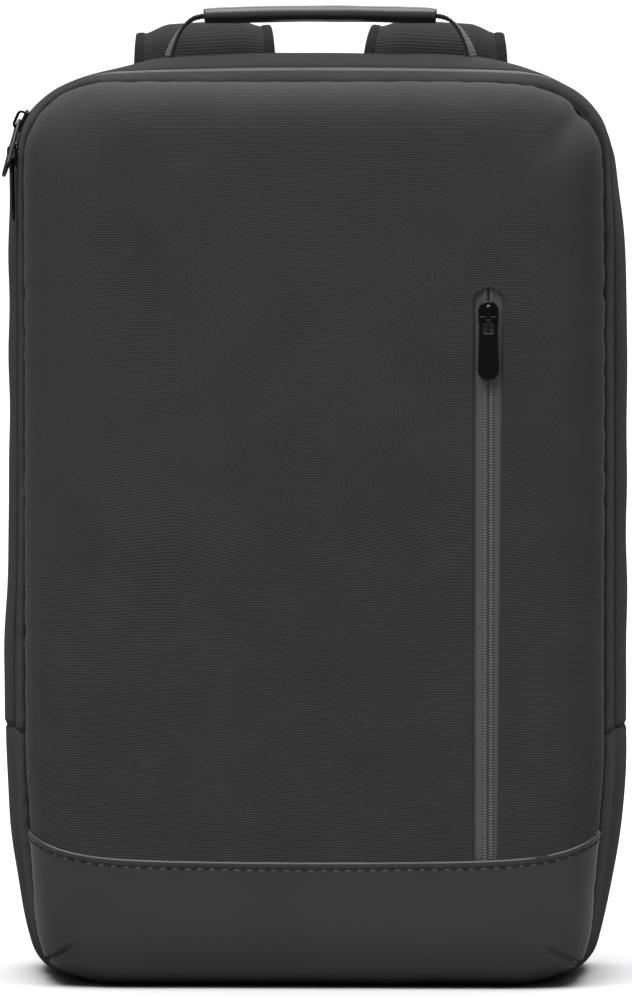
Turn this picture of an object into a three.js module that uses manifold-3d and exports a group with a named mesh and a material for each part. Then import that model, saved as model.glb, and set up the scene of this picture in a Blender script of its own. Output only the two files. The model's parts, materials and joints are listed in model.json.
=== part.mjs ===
// Laptop backpack, closed and standing on its base, as an assembly of sewn panels, straps and zip hardware.
// Millimetres, +Z up. The front faces -Y, and the origin is the middle of the base, on the floor.
// The bag is hollow: each panel is a thin wall cut from one lofted skin, and neighbours keep a small seam gap.

import * as THREE from "three";
import { mergeVertices } from "three/addons/utils/BufferGeometryUtils.js";
import Module from "manifold-3d";

const wasm = await Module();
wasm.setup();

// Bag
const bagWidth = 287; // across the widest section
const bagHeight = 427; // floor to the top of the widest section
const bagDepth = 120; // front face to the back panel's seam
const backPad = 10; // thickness of the padded back panel
const clothWall = 2;
const leatherWall = 2;
const leatherProud = 0.4; // how far the leather stands out of the cloth above it
const seamGap = 0.3;
const frontSeamDepth = 25; // front face to the seam of the front panel
const taperHeight = 105; // the sides draw in below this height
const cornerPower = 2.2; // 2 is a round top corner, and more is squarer
const footPower = 2.6; // the same for the lower corners
const footStretch = 1.33; // width of a lower corner for its height

// Leather foot of the front panel
const leatherHeight = 57.8; // top edge at the middle
const leatherSweep = 2.5; // slow rise of the edge towards the sides
const leatherUpturn = 12; // quick rise of the edge where it turns the corner
const dartReach = 13; // length of the sewn tuck in each lower corner
const dartWidth = 0.8;

// Main zip, over the top and down both sides
const zipDepth = 53; // front face to the middle of the zip
const zipShown = 9; // tape width between the two gusset bands
const zipEndHeight = 115; // where the zip meets the lower gusset
const zipSink = 1; // how deep the tape lies under the bands
const coilWidth = 5.6;
const coilRise = 1.2;
const tapeThickness = 1.2;

// Front pocket zip
const pocketInset = 64.5; // right side of the bag to the middle of the window
const pocketTop = 317;
const pocketWindow = 12.7; // window width at the top
const pocketWindowFoot = 10.4; // window width at the leather
const pocketCorner = 3;
const pocketTapeMargin = 5; // tape hidden behind the panel on each side
const pocketHingeHeight = 304.5;

// Slider and pull, alike on all three zips
const sliderLength = 11.4;
const sliderWidth = 9.4;
const sliderWaist = 7.2;
const sliderPlate = 1.4;
const sliderFlange = 0.8;
const slideClearance = 0.4;
const bridgeLength = 9;
const bridgeWidth = 1.8;
const bridgeRise = 3.3;
const bridgeBar = 1.1;
const pullLength = 28.6;
const pullTopWidth = 8;
const pullFootWidth = 9.6;
const pullThickness = 1.5;
const pullPin = 1.3; // diameter of the bar in the bridge
const pinPlay = 0.9; // pin to the lower end of the bridge
const pullWindowWidth = 5.2;
const pullWindowLength = 6.4;
const upperSliderDrop = 33; // below the top of the bag
const sliderSpacing = 15; // between the two sliders that meet on the side
const upperPullSwing = -6; // degrees out from the slider's plate
const upperPullYaw = 31; // degrees towards the front, past the lower slider
const upperPullShift = 0.3; // along its pin, towards the front
const lowerPullSwing = -1;

// Carrying handle
const handleSpan = 141;
const handleRise = 17.2; // top of the bag to the middle of the grip, at its ends
const handleDepth = 95; // front face to the middle of the webbing
const handleAcross = 1; // middle of the handle, to the right of the bag's middle
const handleWebWidth = 20;
const handleWebThickness = 1.6;
const gripSetback = 16.5; // foot of the handle to the end of the grip
const gripWidth = 24;
const gripThickness = 7.6;
const gripArch = 1.2;
const gripCore = 0.3; // clearance between the webbing and the leather round it

// Shoulder straps
const strapInset = 89.5; // side of the bag to the middle of a strap at the top
const strapWidth = 69;
const strapThickness = 10;
const strapBow = 38; // how far a strap's middle bows out behind the back panel
const adjusterWidth = 32;
const adjusterLength = 28;
const adjusterThickness = 3.4;
const adjusterBar = 4;
const adjusterSlot = 26;
const adjusterOffset = 5; // strap end to adjuster
const webWidth = 24;
const webThickness = 1.4;
const webTail = 46; // free end below the adjuster
const anchorInset = 30.5; // side of the bag to the lower end of the webbing
const anchorHeight = 34;

const halfWidth = bagWidth / 2;
const pocketAcross = halfWidth - pocketInset;
const strapPitch = bagWidth - 2 * strapInset;
const anchorAcross = halfWidth - anchorInset;
const upperSliderHeight = bagHeight - upperSliderDrop;
const lowerSliderHeight = upperSliderHeight - sliderSpacing;
const gripLength = handleSpan - 2 * gripSetback;
const frontY = -(bagDepth + backPad) / 2;
const seamY = frontY + frontSeamDepth;
const zipY = frontY + zipDepth;
const backSeamY = frontY + bagDepth;
const backY = backSeamY + backPad;
const radians = THREE.MathUtils.degToRad;

// The bag's skin, front to back. depth is a share of bagDepth; half, cornerX and taper are shares of halfWidth;
// top, foot, cornerZ, crown and footCorner are shares of bagHeight; power says how late the taper sets in.
const SECTIONS = [
  { depth: 0.0, half: 0.432, top: 0.796, foot: 0.222, cornerX: 0.139, cornerZ: 0.047, crown: 0.0, taper: 0.0, power: 1.2, footCorner: 0.055 },
  { depth: 0.0, half: 0.697, top: 0.904, foot: 0.084, cornerX: 0.181, cornerZ: 0.056, crown: 0.001, taper: 0.028, power: 1.2, footCorner: 0.06 },
  { depth: 0.012, half: 0.787, top: 0.932, foot: 0.045, cornerX: 0.216, cornerZ: 0.068, crown: 0.001, taper: 0.042, power: 1.2, footCorner: 0.066 },
  { depth: 0.042, half: 0.85, top: 0.949, foot: 0.022, cornerX: 0.244, cornerZ: 0.077, crown: 0.0015, taper: 0.056, power: 1.2, footCorner: 0.07 },
  { depth: 0.088, half: 0.892, top: 0.959, foot: 0.0095, cornerX: 0.265, cornerZ: 0.084, crown: 0.002, taper: 0.063, power: 1.2, footCorner: 0.071 },
  { depth: 0.142, half: 0.913, top: 0.963, foot: 0.0035, cornerX: 0.275, cornerZ: 0.088, crown: 0.002, taper: 0.063, power: 1.2, footCorner: 0.07 },
  { depth: 0.2, half: 0.92, top: 0.964, foot: 0.0018, cornerX: 0.279, cornerZ: 0.089, crown: 0.002, taper: 0.063, power: 1.2, footCorner: 0.07 },
  { depth: 0.25, half: 0.932, top: 0.969, foot: 0.0, cornerX: 0.286, cornerZ: 0.089, crown: 0.003, taper: 0.066, power: 1.3, footCorner: 0.062 },
  { depth: 0.333, half: 0.944, top: 0.975, foot: 0.0, cornerX: 0.3, cornerZ: 0.089, crown: 0.005, taper: 0.07, power: 1.5, footCorner: 0.053 },
  { depth: 0.442, half: 0.953, top: 0.98, foot: 0.0, cornerX: 0.328, cornerZ: 0.09, crown: 0.007, taper: 0.082, power: 1.7, footCorner: 0.046 },
  { depth: 0.575, half: 0.98, top: 0.99, foot: 0.0, cornerX: 0.432, cornerZ: 0.105, crown: 0.0105, taper: 0.098, power: 2.0, footCorner: 0.036 },
  { depth: 0.725, half: 0.9985, top: 0.998, foot: 0.0, cornerX: 0.544, cornerZ: 0.119, crown: 0.014, taper: 0.105, power: 2.0, footCorner: 0.035 },
  { depth: 0.858, half: 1.0, top: 1.0, foot: 0.0, cornerX: 0.557, cornerZ: 0.122, crown: 0.014, taper: 0.105, power: 2.0, footCorner: 0.035 },
  { depth: 0.942, half: 0.99, top: 0.995, foot: 0.0, cornerX: 0.55, cornerZ: 0.121, crown: 0.014, taper: 0.105, power: 2.0, footCorner: 0.035 },
  { depth: 1.0, half: 0.965, top: 0.985, foot: 0.0035, cornerX: 0.537, cornerZ: 0.117, crown: 0.013, taper: 0.098, power: 2.0, footCorner: 0.034 },
];

// Where the cloth has slumped or puffed. across is a share of halfWidth and up of bagHeight, with depth a share of
// bagDepth; reach and push are shares of bagHeight, and a negative push stands out.
const DENTS = [
  { name: "slack right shoulder", across: 0.95, up: 0.91, depth: 0.76, reach: 0.085, push: 0.016 },
  { name: "slack left shoulder", across: -0.74, up: 0.965, depth: 0.8, reach: 0.09, push: 0.0045 },
  { name: "hollow by the right top corner", across: 0.8, up: 0.93, depth: 0.02, reach: 0.06, push: 0.008 },
  { name: "full left shoulder", across: -0.7, up: 0.87, depth: 0.0, reach: 0.1, push: -0.004 },
  { name: "left zip end", across: -1.0, up: 0.33, depth: 0.7, reach: 0.1, push: -0.006 },
  { name: "full left foot", across: -0.95, up: 0.1, depth: 0.6, reach: 0.12, push: -0.004 },
  { name: "slack right foot", across: 0.94, up: 0.05, depth: 0.7, reach: 0.08, push: 0.004 },
  { name: "tuck in the left foot", across: -0.83, up: 0.05, depth: 0.04, reach: 0.03, push: 0.003 },
  { name: "tuck in the right foot", across: 0.83, up: 0.05, depth: 0.04, reach: 0.03, push: 0.003 },
];

// The middle line of a shoulder strap, from its seam on the back panel to its lower end. up is a share of bagHeight,
// back a share of strapBow, out a share of halfWidth away from the strap's own middle at the top, wide and thick
// shares of the strap's full size, and lean the roll that drops its outer edge, in degrees.
const STRAP = [
  { up: 0.9, back: 0.066, out: 0.0, wide: 0.97, thick: 0.4, lean: 0 },
  { up: 0.945, back: 0.076, out: 0.0, wide: 1.0, thick: 0.46, lean: 0 },
  { up: 0.985, back: 0.135, out: 0.002, wide: 0.985, thick: 0.8, lean: 1 },
  { up: 1.0155, back: 0.26, out: 0.006, wide: 0.955, thick: 1.0, lean: 2.5 },
  { up: 1.027, back: 0.46, out: 0.01, wide: 0.93, thick: 1.0, lean: 3.5 },
  { up: 1.014, back: 0.67, out: 0.01, wide: 0.94, thick: 1.0, lean: 2.5 },
  { up: 0.977, back: 0.82, out: 0.01, wide: 0.96, thick: 1.0, lean: 1 },
  { up: 0.918, back: 0.93, out: 0.012, wide: 0.98, thick: 1.0, lean: 0 },
  { up: 0.82, back: 1.0, out: 0.014, wide: 1.0, thick: 1.0, lean: 0 },
  { up: 0.7, back: 0.985, out: 0.03, wide: 0.99, thick: 1.0, lean: 0 },
  { up: 0.585, back: 0.89, out: 0.06, wide: 0.93, thick: 0.97, lean: 0 },
  { up: 0.49, back: 0.79, out: 0.1, wide: 0.83, thick: 0.9, lean: 0 },
  { up: 0.425, back: 0.71, out: 0.14, wide: 0.7, thick: 0.78, lean: 0 },
];

// Half of the handle's middle line, foot to grip. across is a share of half its span, up of its rise, and turn the
// degrees by which the webbing twists towards the front.
const HANDLE = [
  { across: 1.0, up: 0.0, turn: 11 },
  { across: 0.985, up: 0.18, turn: 10 },
  { across: 0.958, up: 0.42, turn: 8 },
  { across: 0.912, up: 0.7, turn: 5 },
  { across: 0.85, up: 0.91, turn: 2 },
  { across: 0.79, up: 0.99, turn: 0 },
];

// Materials
function finish(color, roughness, metalness = 0) {
  return new THREE.MeshStandardMaterial({ color, roughness, metalness });
}
const canvasCloth = finish(0x3a3a3b, 0.85);
const gussetCloth = finish(0x343435, 0.9);
const smoothLeather = finish(0x3d3d3e, 0.5);
const coatedTape = finish(0x464647, 0.6);
const wovenWebbing = finish(0x222223, 0.85);
const blackMetal = finish(0x151516, 0.25, 0.9);
const blackPlastic = finish(0x1c1c1d, 0.45);

// Triangle work. A Skin collects rings of points, joins them, and becomes a solid.
class Skin {
  constructor() {
    this.points = [];
    this.faces = [];
  }

  ring(points) {
    const first = this.points.length;
    this.points.push(...points);
    return points.map((_, i) => first + i);
  }

  bridge(a, b, closed) {
    const steps = closed ? a.length : a.length - 1;
    for (let i = 0; i < steps; i++) {
      const j = (i + 1) % a.length;
      this.faces.push([a[i], a[j], b[j]], [a[i], b[j], b[i]]);
    }
  }

  fan(ring, centre, inward = false) {
    const [c] = this.ring([centre]);
    for (let i = 0; i < ring.length; i++) {
      const j = (i + 1) % ring.length;
      this.faces.push(inward ? [ring[i], ring[j], c] : [ring[j], ring[i], c]);
    }
  }

  solid() {
    const volume = this.faces.reduce((sum, [a, b, c]) => {
      const [p, q, r] = [this.points[a], this.points[b], this.points[c]];
      return sum + p.dot(new THREE.Vector3().crossVectors(q, r)) / 6;
    }, 0);
    const turned = volume < 0 ? this.faces.map(([a, b, c]) => [a, c, b]) : this.faces;
    const geometry = new THREE.BufferGeometry();
    geometry.setAttribute("position", new THREE.Float32BufferAttribute(this.points.flatMap((p) => p.toArray()), 3));
    geometry.setIndex(turned.flat());
    return solidOf(geometry);
  }
}

function solidOf(geometry) {
  const bare = geometry.clone();
  bare.deleteAttribute("normal");
  bare.deleteAttribute("uv");
  const merged = mergeVertices(bare, 1e-3);
  return new wasm.Manifold(new wasm.Mesh({
    numProp: 3,
    vertProperties: merged.attributes.position.array,
    triVerts: new Uint32Array(merged.index.array),
  }));
}

function geometryOf(solid) {
  const { vertProperties, triVerts } = solid.getMesh();
  const geometry = new THREE.BufferGeometry();
  geometry.setAttribute("position", new THREE.Float32BufferAttribute(vertProperties, 3));
  geometry.setIndex(new THREE.Uint32BufferAttribute(triVerts, 1));
  geometry.computeVertexNormals();
  return geometry;
}

function piece(name, solid, material) {
  const mesh = new THREE.Mesh(geometryOf(solid), material);
  mesh.name = name;
  return mesh;
}

function placed(solid, matrix) {
  return solidOf(geometryOf(solid).applyMatrix4(matrix));
}

function mirrored(solid) {
  const geometry = geometryOf(solid).scale(-1, 1, 1);
  const index = geometry.index.array;
  for (let i = 0; i < index.length; i += 3) {
    [index[i + 1], index[i + 2]] = [index[i + 2], index[i + 1]];
  }
  return solidOf(geometry);
}

function extruded(shape, depth, curveSegments = 4) {
  return solidOf(new THREE.ExtrudeGeometry(shape, { depth, bevelEnabled: false, curveSegments }));
}

function spaced(from, to, count) {
  return Array.from({ length: count }, (_, i) => from + ((to - from) * i) / (count - 1));
}

// Skin of the bag
// The table between two rows: a row number with a fraction gives a blend of its neighbours.
function sectionAt(row) {
  const i = Math.min(Math.floor(row), SECTIONS.length - 2);
  const part = row - i;
  const mixed = {};
  for (const column of Object.keys(SECTIONS[0])) {
    mixed[column] = SECTIONS[i][column] * (1 - part) + SECTIONS[i + 1][column] * part;
  }
  return mixed;
}

function rowAtDepth(y) {
  const share = (y - frontY) / bagDepth;
  const i = SECTIONS.findIndex((s, k) => k > 1 && s.depth >= share) - 1;
  return i + (share - SECTIONS[i].depth) / (SECTIONS[i + 1].depth - SECTIONS[i].depth);
}

const lowSide = 0.1 * bagHeight;
const highSide = 0.845 * bagHeight;
const SIDE_HEIGHTS = [
  ...spaced(lowSide, zipEndHeight - seamGap / 2, 4),
  ...spaced(zipEndHeight + seamGap / 2, highSide, 7),
];
const FLAT_STEPS = 3;
const FOOT_STEPS = 4;
const CORNER_STEPS = 7;
const ZIP_LOW_NODE = FLAT_STEPS + 1 + FOOT_STEPS + 3; // the last node under the zip end, on the right
const ZIP_HIGH_NODE = ZIP_LOW_NODE + 1;

// One closed outline [x, z], from the middle of the base up the right side, over the top and down the left side.
function outline(section) {
  const half = section.half * halfWidth;
  const foot = section.foot * bagHeight;
  const footCorner = section.footCorner * bagHeight;
  const footReach = footCorner * footStretch;
  const crown = section.crown * bagHeight;
  const cornerX = section.cornerX * halfWidth;
  const cornerZ = section.cornerZ * bagHeight;
  const shoulder = section.top * bagHeight - cornerZ;
  const low = foot + footCorner;
  const seat = SECTIONS[6];
  const seatLow = (seat.foot + seat.footCorner) * bagHeight;
  const seatShoulder = (seat.top - seat.cornerZ) * bagHeight;
  const inner = section.depth <= seat.depth;
  const right = [];
  for (let i = 0; i <= FLAT_STEPS; i++) {
    right.push([((half - footReach) * i) / FLAT_STEPS, foot]);
  }
  for (let i = 1; i <= FOOT_STEPS; i++) {
    const a = ((Math.PI / 2) * i) / FOOT_STEPS;
    const x = half - footReach + footReach * Math.sin(a) ** (2 / footPower);
    right.push([x, low - footCorner * Math.cos(a) ** (2 / footPower)]);
  }
  for (const height of SIDE_HEIGHTS) {
    const share = (height - seatLow) / (seatShoulder - seatLow);
    right.push([half, inner ? low + share * (shoulder - low) : height]);
  }
  for (let i = 0; i <= CORNER_STEPS; i++) {
    const a = ((Math.PI / 2) * i) / CORNER_STEPS;
    const x = half - cornerX + cornerX * Math.cos(a) ** (2 / cornerPower);
    const rise = Math.sin(a) ** (2 / cornerPower);
    right.push([x, shoulder + cornerZ * rise - crown * rise * (x / half) ** 2]);
  }
  for (let i = FLAT_STEPS - 1; i >= 0; i--) {
    const x = ((half - cornerX) * i) / FLAT_STEPS;
    right.push([x, shoulder + cornerZ - crown * (x / half) ** 2]);
  }
  const drawn = right.map(([x, z]) => {
    const below = Math.max(0, 1 - z / taperHeight);
    return [x * (1 - (section.taper / section.half) * below ** section.power), z];
  });
  const left = drawn.slice(1, -1).reverse().map(([x, z]) => [-x, z]);
  return [...drawn, ...left];
}

const NODES = outline(SECTIONS[0]).length;

function skinPoint(row, node) {
  const section = sectionAt(row);
  const [x, z] = outline(section)[(node + NODES) % NODES];
  return new THREE.Vector3(x, frontY + section.depth * bagDepth, z);
}

function skinNormal(row, node) {
  const step = 0.2;
  const lastRow = SECTIONS.length - 1;
  const along = skinPoint(Math.min(row + step, lastRow), node).sub(skinPoint(Math.max(row - step, 0), node));
  const around = skinPoint(row, node + 1).sub(skinPoint(row, node - 1));
  return new THREE.Vector3().crossVectors(along, around).normalize();
}

function dentAt(point) {
  return DENTS.reduce((sum, dent) => {
    const centre = new THREE.Vector3(
      dent.across * halfWidth, frontY + dent.depth * bagDepth, dent.up * bagHeight);
    const away = point.distanceTo(centre) / (dent.reach * bagHeight);
    return sum + dent.push * bagHeight * Math.exp(-away * away);
  }, 0);
}

// A ring of the skin at one row, moved out along the normals, with the dents pressed in.
function skinRing(row, nodes, outward) {
  return nodes.map((node) => {
    const point = skinPoint(row, node);
    const normal = skinNormal(row, node);
    return point.addScaledVector(normal, outward - dentAt(point));
  });
}

const ALL_NODES = Array.from({ length: NODES }, (_, i) => i);

// A wall cut from the skin: rows give each ring's row and the offsets of its outer and inner face.
function wall(rows, nodes) {
  const skin = new Skin();
  const outer = rows.map(({ row, out }) => skin.ring(skinRing(row, nodes, out)));
  const inner = rows.map(({ row, inn }) => skin.ring(skinRing(row, nodes, inn)));
  const last = rows.length - 1;
  const closed = nodes === ALL_NODES;
  for (let i = 0; i < last; i++) {
    skin.bridge(outer[i], outer[i + 1], closed);
    skin.bridge(inner[i + 1], inner[i], closed);
  }
  if (!closed) {
    for (const end of [0, nodes.length - 1]) {
      for (let i = 0; i < last; i++) {
        const [a, b, c, d] = [outer[i][end], outer[i + 1][end], inner[i + 1][end], inner[i][end]];
        skin.faces.push(...(end === 0 ? [[a, b, c], [a, c, d]] : [[a, c, b], [a, d, c]]));
      }
    }
    skin.bridge(inner[0], outer[0], false);
  }
  skin.bridge(outer[last], inner[last], closed);
  return { skin, outer, inner };
}

function rowsBetween(y0, y1, out, inn) {
  const first = rowAtDepth(y0);
  const last = rowAtDepth(y1);
  const whole = SECTIONS.map((_, i) => i).filter((i) => i > first + 0.2 && i < last - 0.2);
  return [first, ...whole, last].map((row) => ({ row, out, inn }));
}

// The whole front: a cushion-shaped wall from the middle of the face to the front seam.
function frontShell(out, inn) {
  const toSeam = rowAtDepth(seamY - seamGap / 2);
  const rows = [0, 1, 2, 3, 4, 5, toSeam].map((row) => ({ row, out, inn }));
  const { skin, outer, inner } = wall(rows, ALL_NODES);
  const middle = ((SECTIONS[0].top + SECTIONS[0].foot) / 2) * bagHeight;
  skin.fan(outer[0], new THREE.Vector3(0, frontY - out, middle));
  skin.fan(inner[0], new THREE.Vector3(0, frontY - inn, middle), true);
  return skin.solid();
}

// Height of the leather's upper edge at x.
function leatherEdge(x) {
  const share = Math.abs(x) / (SECTIONS[6].half * halfWidth);
  return leatherHeight + leatherSweep * share ** 2 + leatherUpturn * share ** 8;
}

// A block through the front wall that reaches from the leather's edge down or up to a far height.
function edgeBlock(farHeight, lift) {
  const shape = new THREE.Shape();
  const steps = 24;
  shape.moveTo(-bagWidth, farHeight);
  for (let i = 0; i <= steps; i++) {
    const x = -halfWidth + (bagWidth * i) / steps;
    shape.lineTo(x, leatherEdge(x) + lift);
  }
  shape.lineTo(bagWidth, leatherEdge(halfWidth) + lift);
  shape.lineTo(bagWidth, farHeight);
  return placed(extruded(shape, bagDepth), facingFront(seamY + clothWall));
}

// Takes a shape drawn in x and z, extruded towards -Y, and puts its near side at y.
function facingFront(y) {
  return new THREE.Matrix4().makeRotationX(Math.PI / 2).setPosition(0, y, 0);
}

function pocketSlot() {
  const lower = leatherHeight - leatherUpturn;
  const left = pocketAcross - pocketWindow / 2;
  const right = left + pocketWindow;
  const rightFoot = left + pocketWindowFoot;
  const shape = new THREE.Shape();
  shape.moveTo(left, lower);
  shape.lineTo(rightFoot, lower);
  shape.lineTo(right, pocketTop - pocketCorner);
  shape.absarc(right - pocketCorner, pocketTop - pocketCorner, pocketCorner, 0, Math.PI / 2);
  shape.absarc(left + pocketCorner, pocketTop - pocketCorner, pocketCorner, Math.PI / 2, Math.PI);
  return placed(extruded(shape, 2 * clothWall + frontSeamDepth), facingFront(frontY + clothWall + frontSeamDepth / 2));
}

// A shallow sewn line from the front seam towards the face, in each lower corner.
function dartGroove(side) {
  const groove = solidOf(new THREE.BoxGeometry(dartReach, 4 * leatherWall, dartWidth));
  const start = skinPoint(3, FLAT_STEPS + 3);
  const turn = new THREE.Matrix4().makeRotationY(radians(side * 38));
  return placed(groove, turn.setPosition(side * start.x, start.y - 3 * leatherWall, start.z));
}

function frontPanel() {
  const shell = frontShell(0, -clothWall);
  const above = edgeBlock(bagHeight + clothWall, seamGap);
  return shell.intersect(above).subtract(pocketSlot());
}

function leatherPanel() {
  const shell = frontShell(leatherProud, leatherProud - leatherWall);
  const below = edgeBlock(-clothWall, 0);
  return shell.intersect(below).subtract(dartGroove(-1)).subtract(dartGroove(1));
}

const overTop = ALL_NODES.filter((i) => i >= ZIP_HIGH_NODE && i <= NODES - ZIP_HIGH_NODE);
const underneath = [
  ...ALL_NODES.filter((i) => i >= NODES - ZIP_LOW_NODE),
  ...ALL_NODES.filter((i) => i <= ZIP_LOW_NODE),
];
const bandEdge = zipShown / 2 + seamGap / 2;

function gussetFront() {
  return wall(rowsBetween(seamY + seamGap / 2, zipY - bandEdge, 0, -clothWall), overTop).skin.solid();
}

function gussetRear() {
  return wall(rowsBetween(zipY + bandEdge, backSeamY - seamGap, 0, -clothWall), overTop).skin.solid();
}

function gussetLower() {
  return wall(rowsBetween(seamY + seamGap / 2, backSeamY - seamGap, 0, -clothWall), underneath).skin.solid();
}

// The zip's tape lies in a shallow channel, with the closed coil as a ridge along its middle.
function mainZip() {
  const tapeEdge = zipShown / 2 - seamGap / 2;
  const coilEdge = coilWidth / 2;
  const bevel = 0.5;
  const rows = [
    { y: -tapeEdge, out: -zipSink },
    { y: -coilEdge, out: -zipSink },
    { y: -coilEdge + bevel, out: coilRise - zipSink },
    { y: coilEdge - bevel, out: coilRise - zipSink },
    { y: coilEdge, out: -zipSink },
    { y: tapeEdge, out: -zipSink },
  ].map(({ y, out }) => ({ row: rowAtDepth(zipY + y), out, inn: -zipSink - tapeThickness }));
  return wall(rows, overTop).skin.solid();
}

// The padded back: a flat slab with rounded edges, as thick as its foam.
function backPanel() {
  const skin = new Skin();
  const edge = SECTIONS[SECTIONS.length - 1];
  const steps = [
    { back: 0, inset: 0.15 },
    { back: 0.45, inset: 0 },
    { back: 0.8, inset: 0.25 },
    { back: 1, inset: 0.8 },
  ];
  const rings = steps.map(({ back, inset }) => {
    const drawnIn = inset * backPad;
    const section = {
      ...edge,
      half: edge.half - drawnIn / halfWidth,
      cornerX: edge.cornerX - drawnIn / halfWidth,
      top: edge.top - drawnIn / bagHeight,
      cornerZ: edge.cornerZ - drawnIn / bagHeight,
      foot: edge.foot + drawnIn / bagHeight,
      footCorner: edge.footCorner - drawnIn / bagHeight,
    };
    return skin.ring(outline(section).map(([x, z]) => new THREE.Vector3(x, backSeamY + back * backPad, z)));
  });
  for (let i = 0; i < rings.length - 1; i++) {
    skin.bridge(rings[i], rings[i + 1], true);
  }
  skin.fan(rings[0], new THREE.Vector3(0, backSeamY, bagHeight / 2));
  skin.fan(rings[rings.length - 1], new THREE.Vector3(0, backY, bagHeight / 2), true);
  return skin.solid();
}

// Front pocket zip: a flat tape behind the window, with the coil along its middle.
const pocketTapeY = frontY + clothWall + seamGap;

function pocketZip() {
  const width = pocketWindow + 2 * pocketTapeMargin;
  const foot = leatherHeight - leatherUpturn / 2;
  const height = pocketTop + pocketTapeMargin - foot;
  const tape = new THREE.BoxGeometry(width, tapeThickness, height);
  tape.translate(pocketAcross, pocketTapeY + tapeThickness / 2, foot + height / 2);
  const coilFoot = leatherEdge(pocketAcross) + 2 * seamGap;
  const coilHeight = pocketTop - pocketCorner - coilFoot;
  const coil = new THREE.BoxGeometry(coilWidth, 2 * coilRise, coilHeight);
  coil.translate(pocketAcross, pocketTapeY, coilFoot + coilHeight / 2);
  return solidOf(tape).add(solidOf(coil));
}

// Slider in its own frame: x across the zip, y along it with the wide end up, z out from the coil's top.
function sliderSolid() {
  const half = sliderLength / 2;
  const plan = new THREE.Shape();
  plan.moveTo(-sliderWaist / 2, -half);
  plan.lineTo(sliderWaist / 2, -half);
  plan.lineTo(sliderWidth / 2, half * 0.25);
  plan.absarc(0, half - sliderWidth / 2, sliderWidth / 2, Math.PI * 0.1, Math.PI * 0.9);
  plan.lineTo(-sliderWidth / 2, half * 0.25);
  const plate = placed(extruded(plan, sliderPlate, 3), new THREE.Matrix4().setPosition(0, 0, slideClearance));
  const flange = new THREE.BoxGeometry(sliderPlate, sliderLength * 0.6, sliderFlange + sliderPlate / 2);
  const flangeX = coilWidth / 2 + slideClearance + sliderPlate / 2;
  const flangeZ = slideClearance - sliderFlange / 2 + sliderPlate / 4;
  const left = flange.clone().translate(-flangeX, -sliderLength * 0.15, flangeZ);
  const right = flange.translate(flangeX, -sliderLength * 0.15, flangeZ);
  const arch = new THREE.Shape();
  const bend = bridgeRise * 0.45;
  const reach = bridgeLength / 2;
  arch.moveTo(-reach, -sliderPlate / 2);
  arch.lineTo(-reach, bridgeRise - bend);
  arch.quadraticCurveTo(-reach, bridgeRise, -reach + bend, bridgeRise);
  arch.lineTo(reach - bend, bridgeRise);
  arch.quadraticCurveTo(reach, bridgeRise, reach, bridgeRise - bend);
  arch.lineTo(reach, -sliderPlate / 2);
  arch.lineTo(reach - bridgeBar, -sliderPlate / 2);
  arch.lineTo(reach - bridgeBar, bridgeRise - bridgeBar);
  arch.lineTo(-reach + bridgeBar, bridgeRise - bridgeBar);
  arch.lineTo(-reach + bridgeBar, -sliderPlate / 2);
  const bridge = placed(
    extruded(arch, bridgeWidth, 3),
    new THREE.Matrix4()
      .makeBasis(new THREE.Vector3(0, 1, 0), new THREE.Vector3(0, 0, 1), new THREE.Vector3(1, 0, 0))
      .setPosition(-bridgeWidth / 2, 0, slideClearance + sliderPlate),
  );
  return plate.add(bridge).add(solidOf(left)).add(solidOf(right));
}

// Where a pull's pin lies in the slider's frame: in the lower end of the bridge.
const pinDrop = bridgeLength / 2 - bridgeBar - pullPin / 2 - pinPlay;
const pinHeight = slideClearance + sliderPlate + (bridgeRise - bridgeBar) / 2;

// Pull in its own frame: the pin on the x axis, the tab hanging towards -y, z out.
function pullSolid() {
  const windowTop = -pullPin / 2;
  const windowFoot = windowTop - pullWindowLength;
  const shape = new THREE.Shape();
  const foot = -pullLength + pullFootWidth / 2;
  shape.moveTo(-pullTopWidth / 2, windowTop);
  shape.lineTo(-pullFootWidth / 2, foot);
  shape.absarc(0, foot, pullFootWidth / 2, Math.PI, 2 * Math.PI);
  shape.lineTo(pullTopWidth / 2, windowTop);
  shape.lineTo(pullWindowWidth / 2, windowTop);
  shape.lineTo(pullWindowWidth / 2, windowFoot);
  shape.lineTo(-pullWindowWidth / 2, windowFoot);
  shape.lineTo(-pullWindowWidth / 2, windowTop);
  const tab = placed(extruded(shape, pullThickness, 5), new THREE.Matrix4().setPosition(0, 0, -pullThickness / 2));
  const armWidth = (pullTopWidth - pullWindowWidth) / 2;
  const arm = new THREE.BoxGeometry(armWidth, pullPin, pullThickness);
  const armX = (pullTopWidth - armWidth) / 2;
  const pin = new THREE.CylinderGeometry(pullPin / 2, pullPin / 2, pullTopWidth - armWidth, 8).rotateZ(Math.PI / 2);
  return tab
    .add(solidOf(arm.clone().translate(-armX, 0, 0)))
    .add(solidOf(arm.translate(armX, 0, 0)))
    .add(solidOf(pin));
}

// A frame on a zip: up runs along the zip and out stands off it.
function zipFrame(origin, up, out) {
  const across = new THREE.Vector3().crossVectors(up, out);
  return new THREE.Matrix4().makeBasis(across, up, out).setPosition(origin);
}

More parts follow.
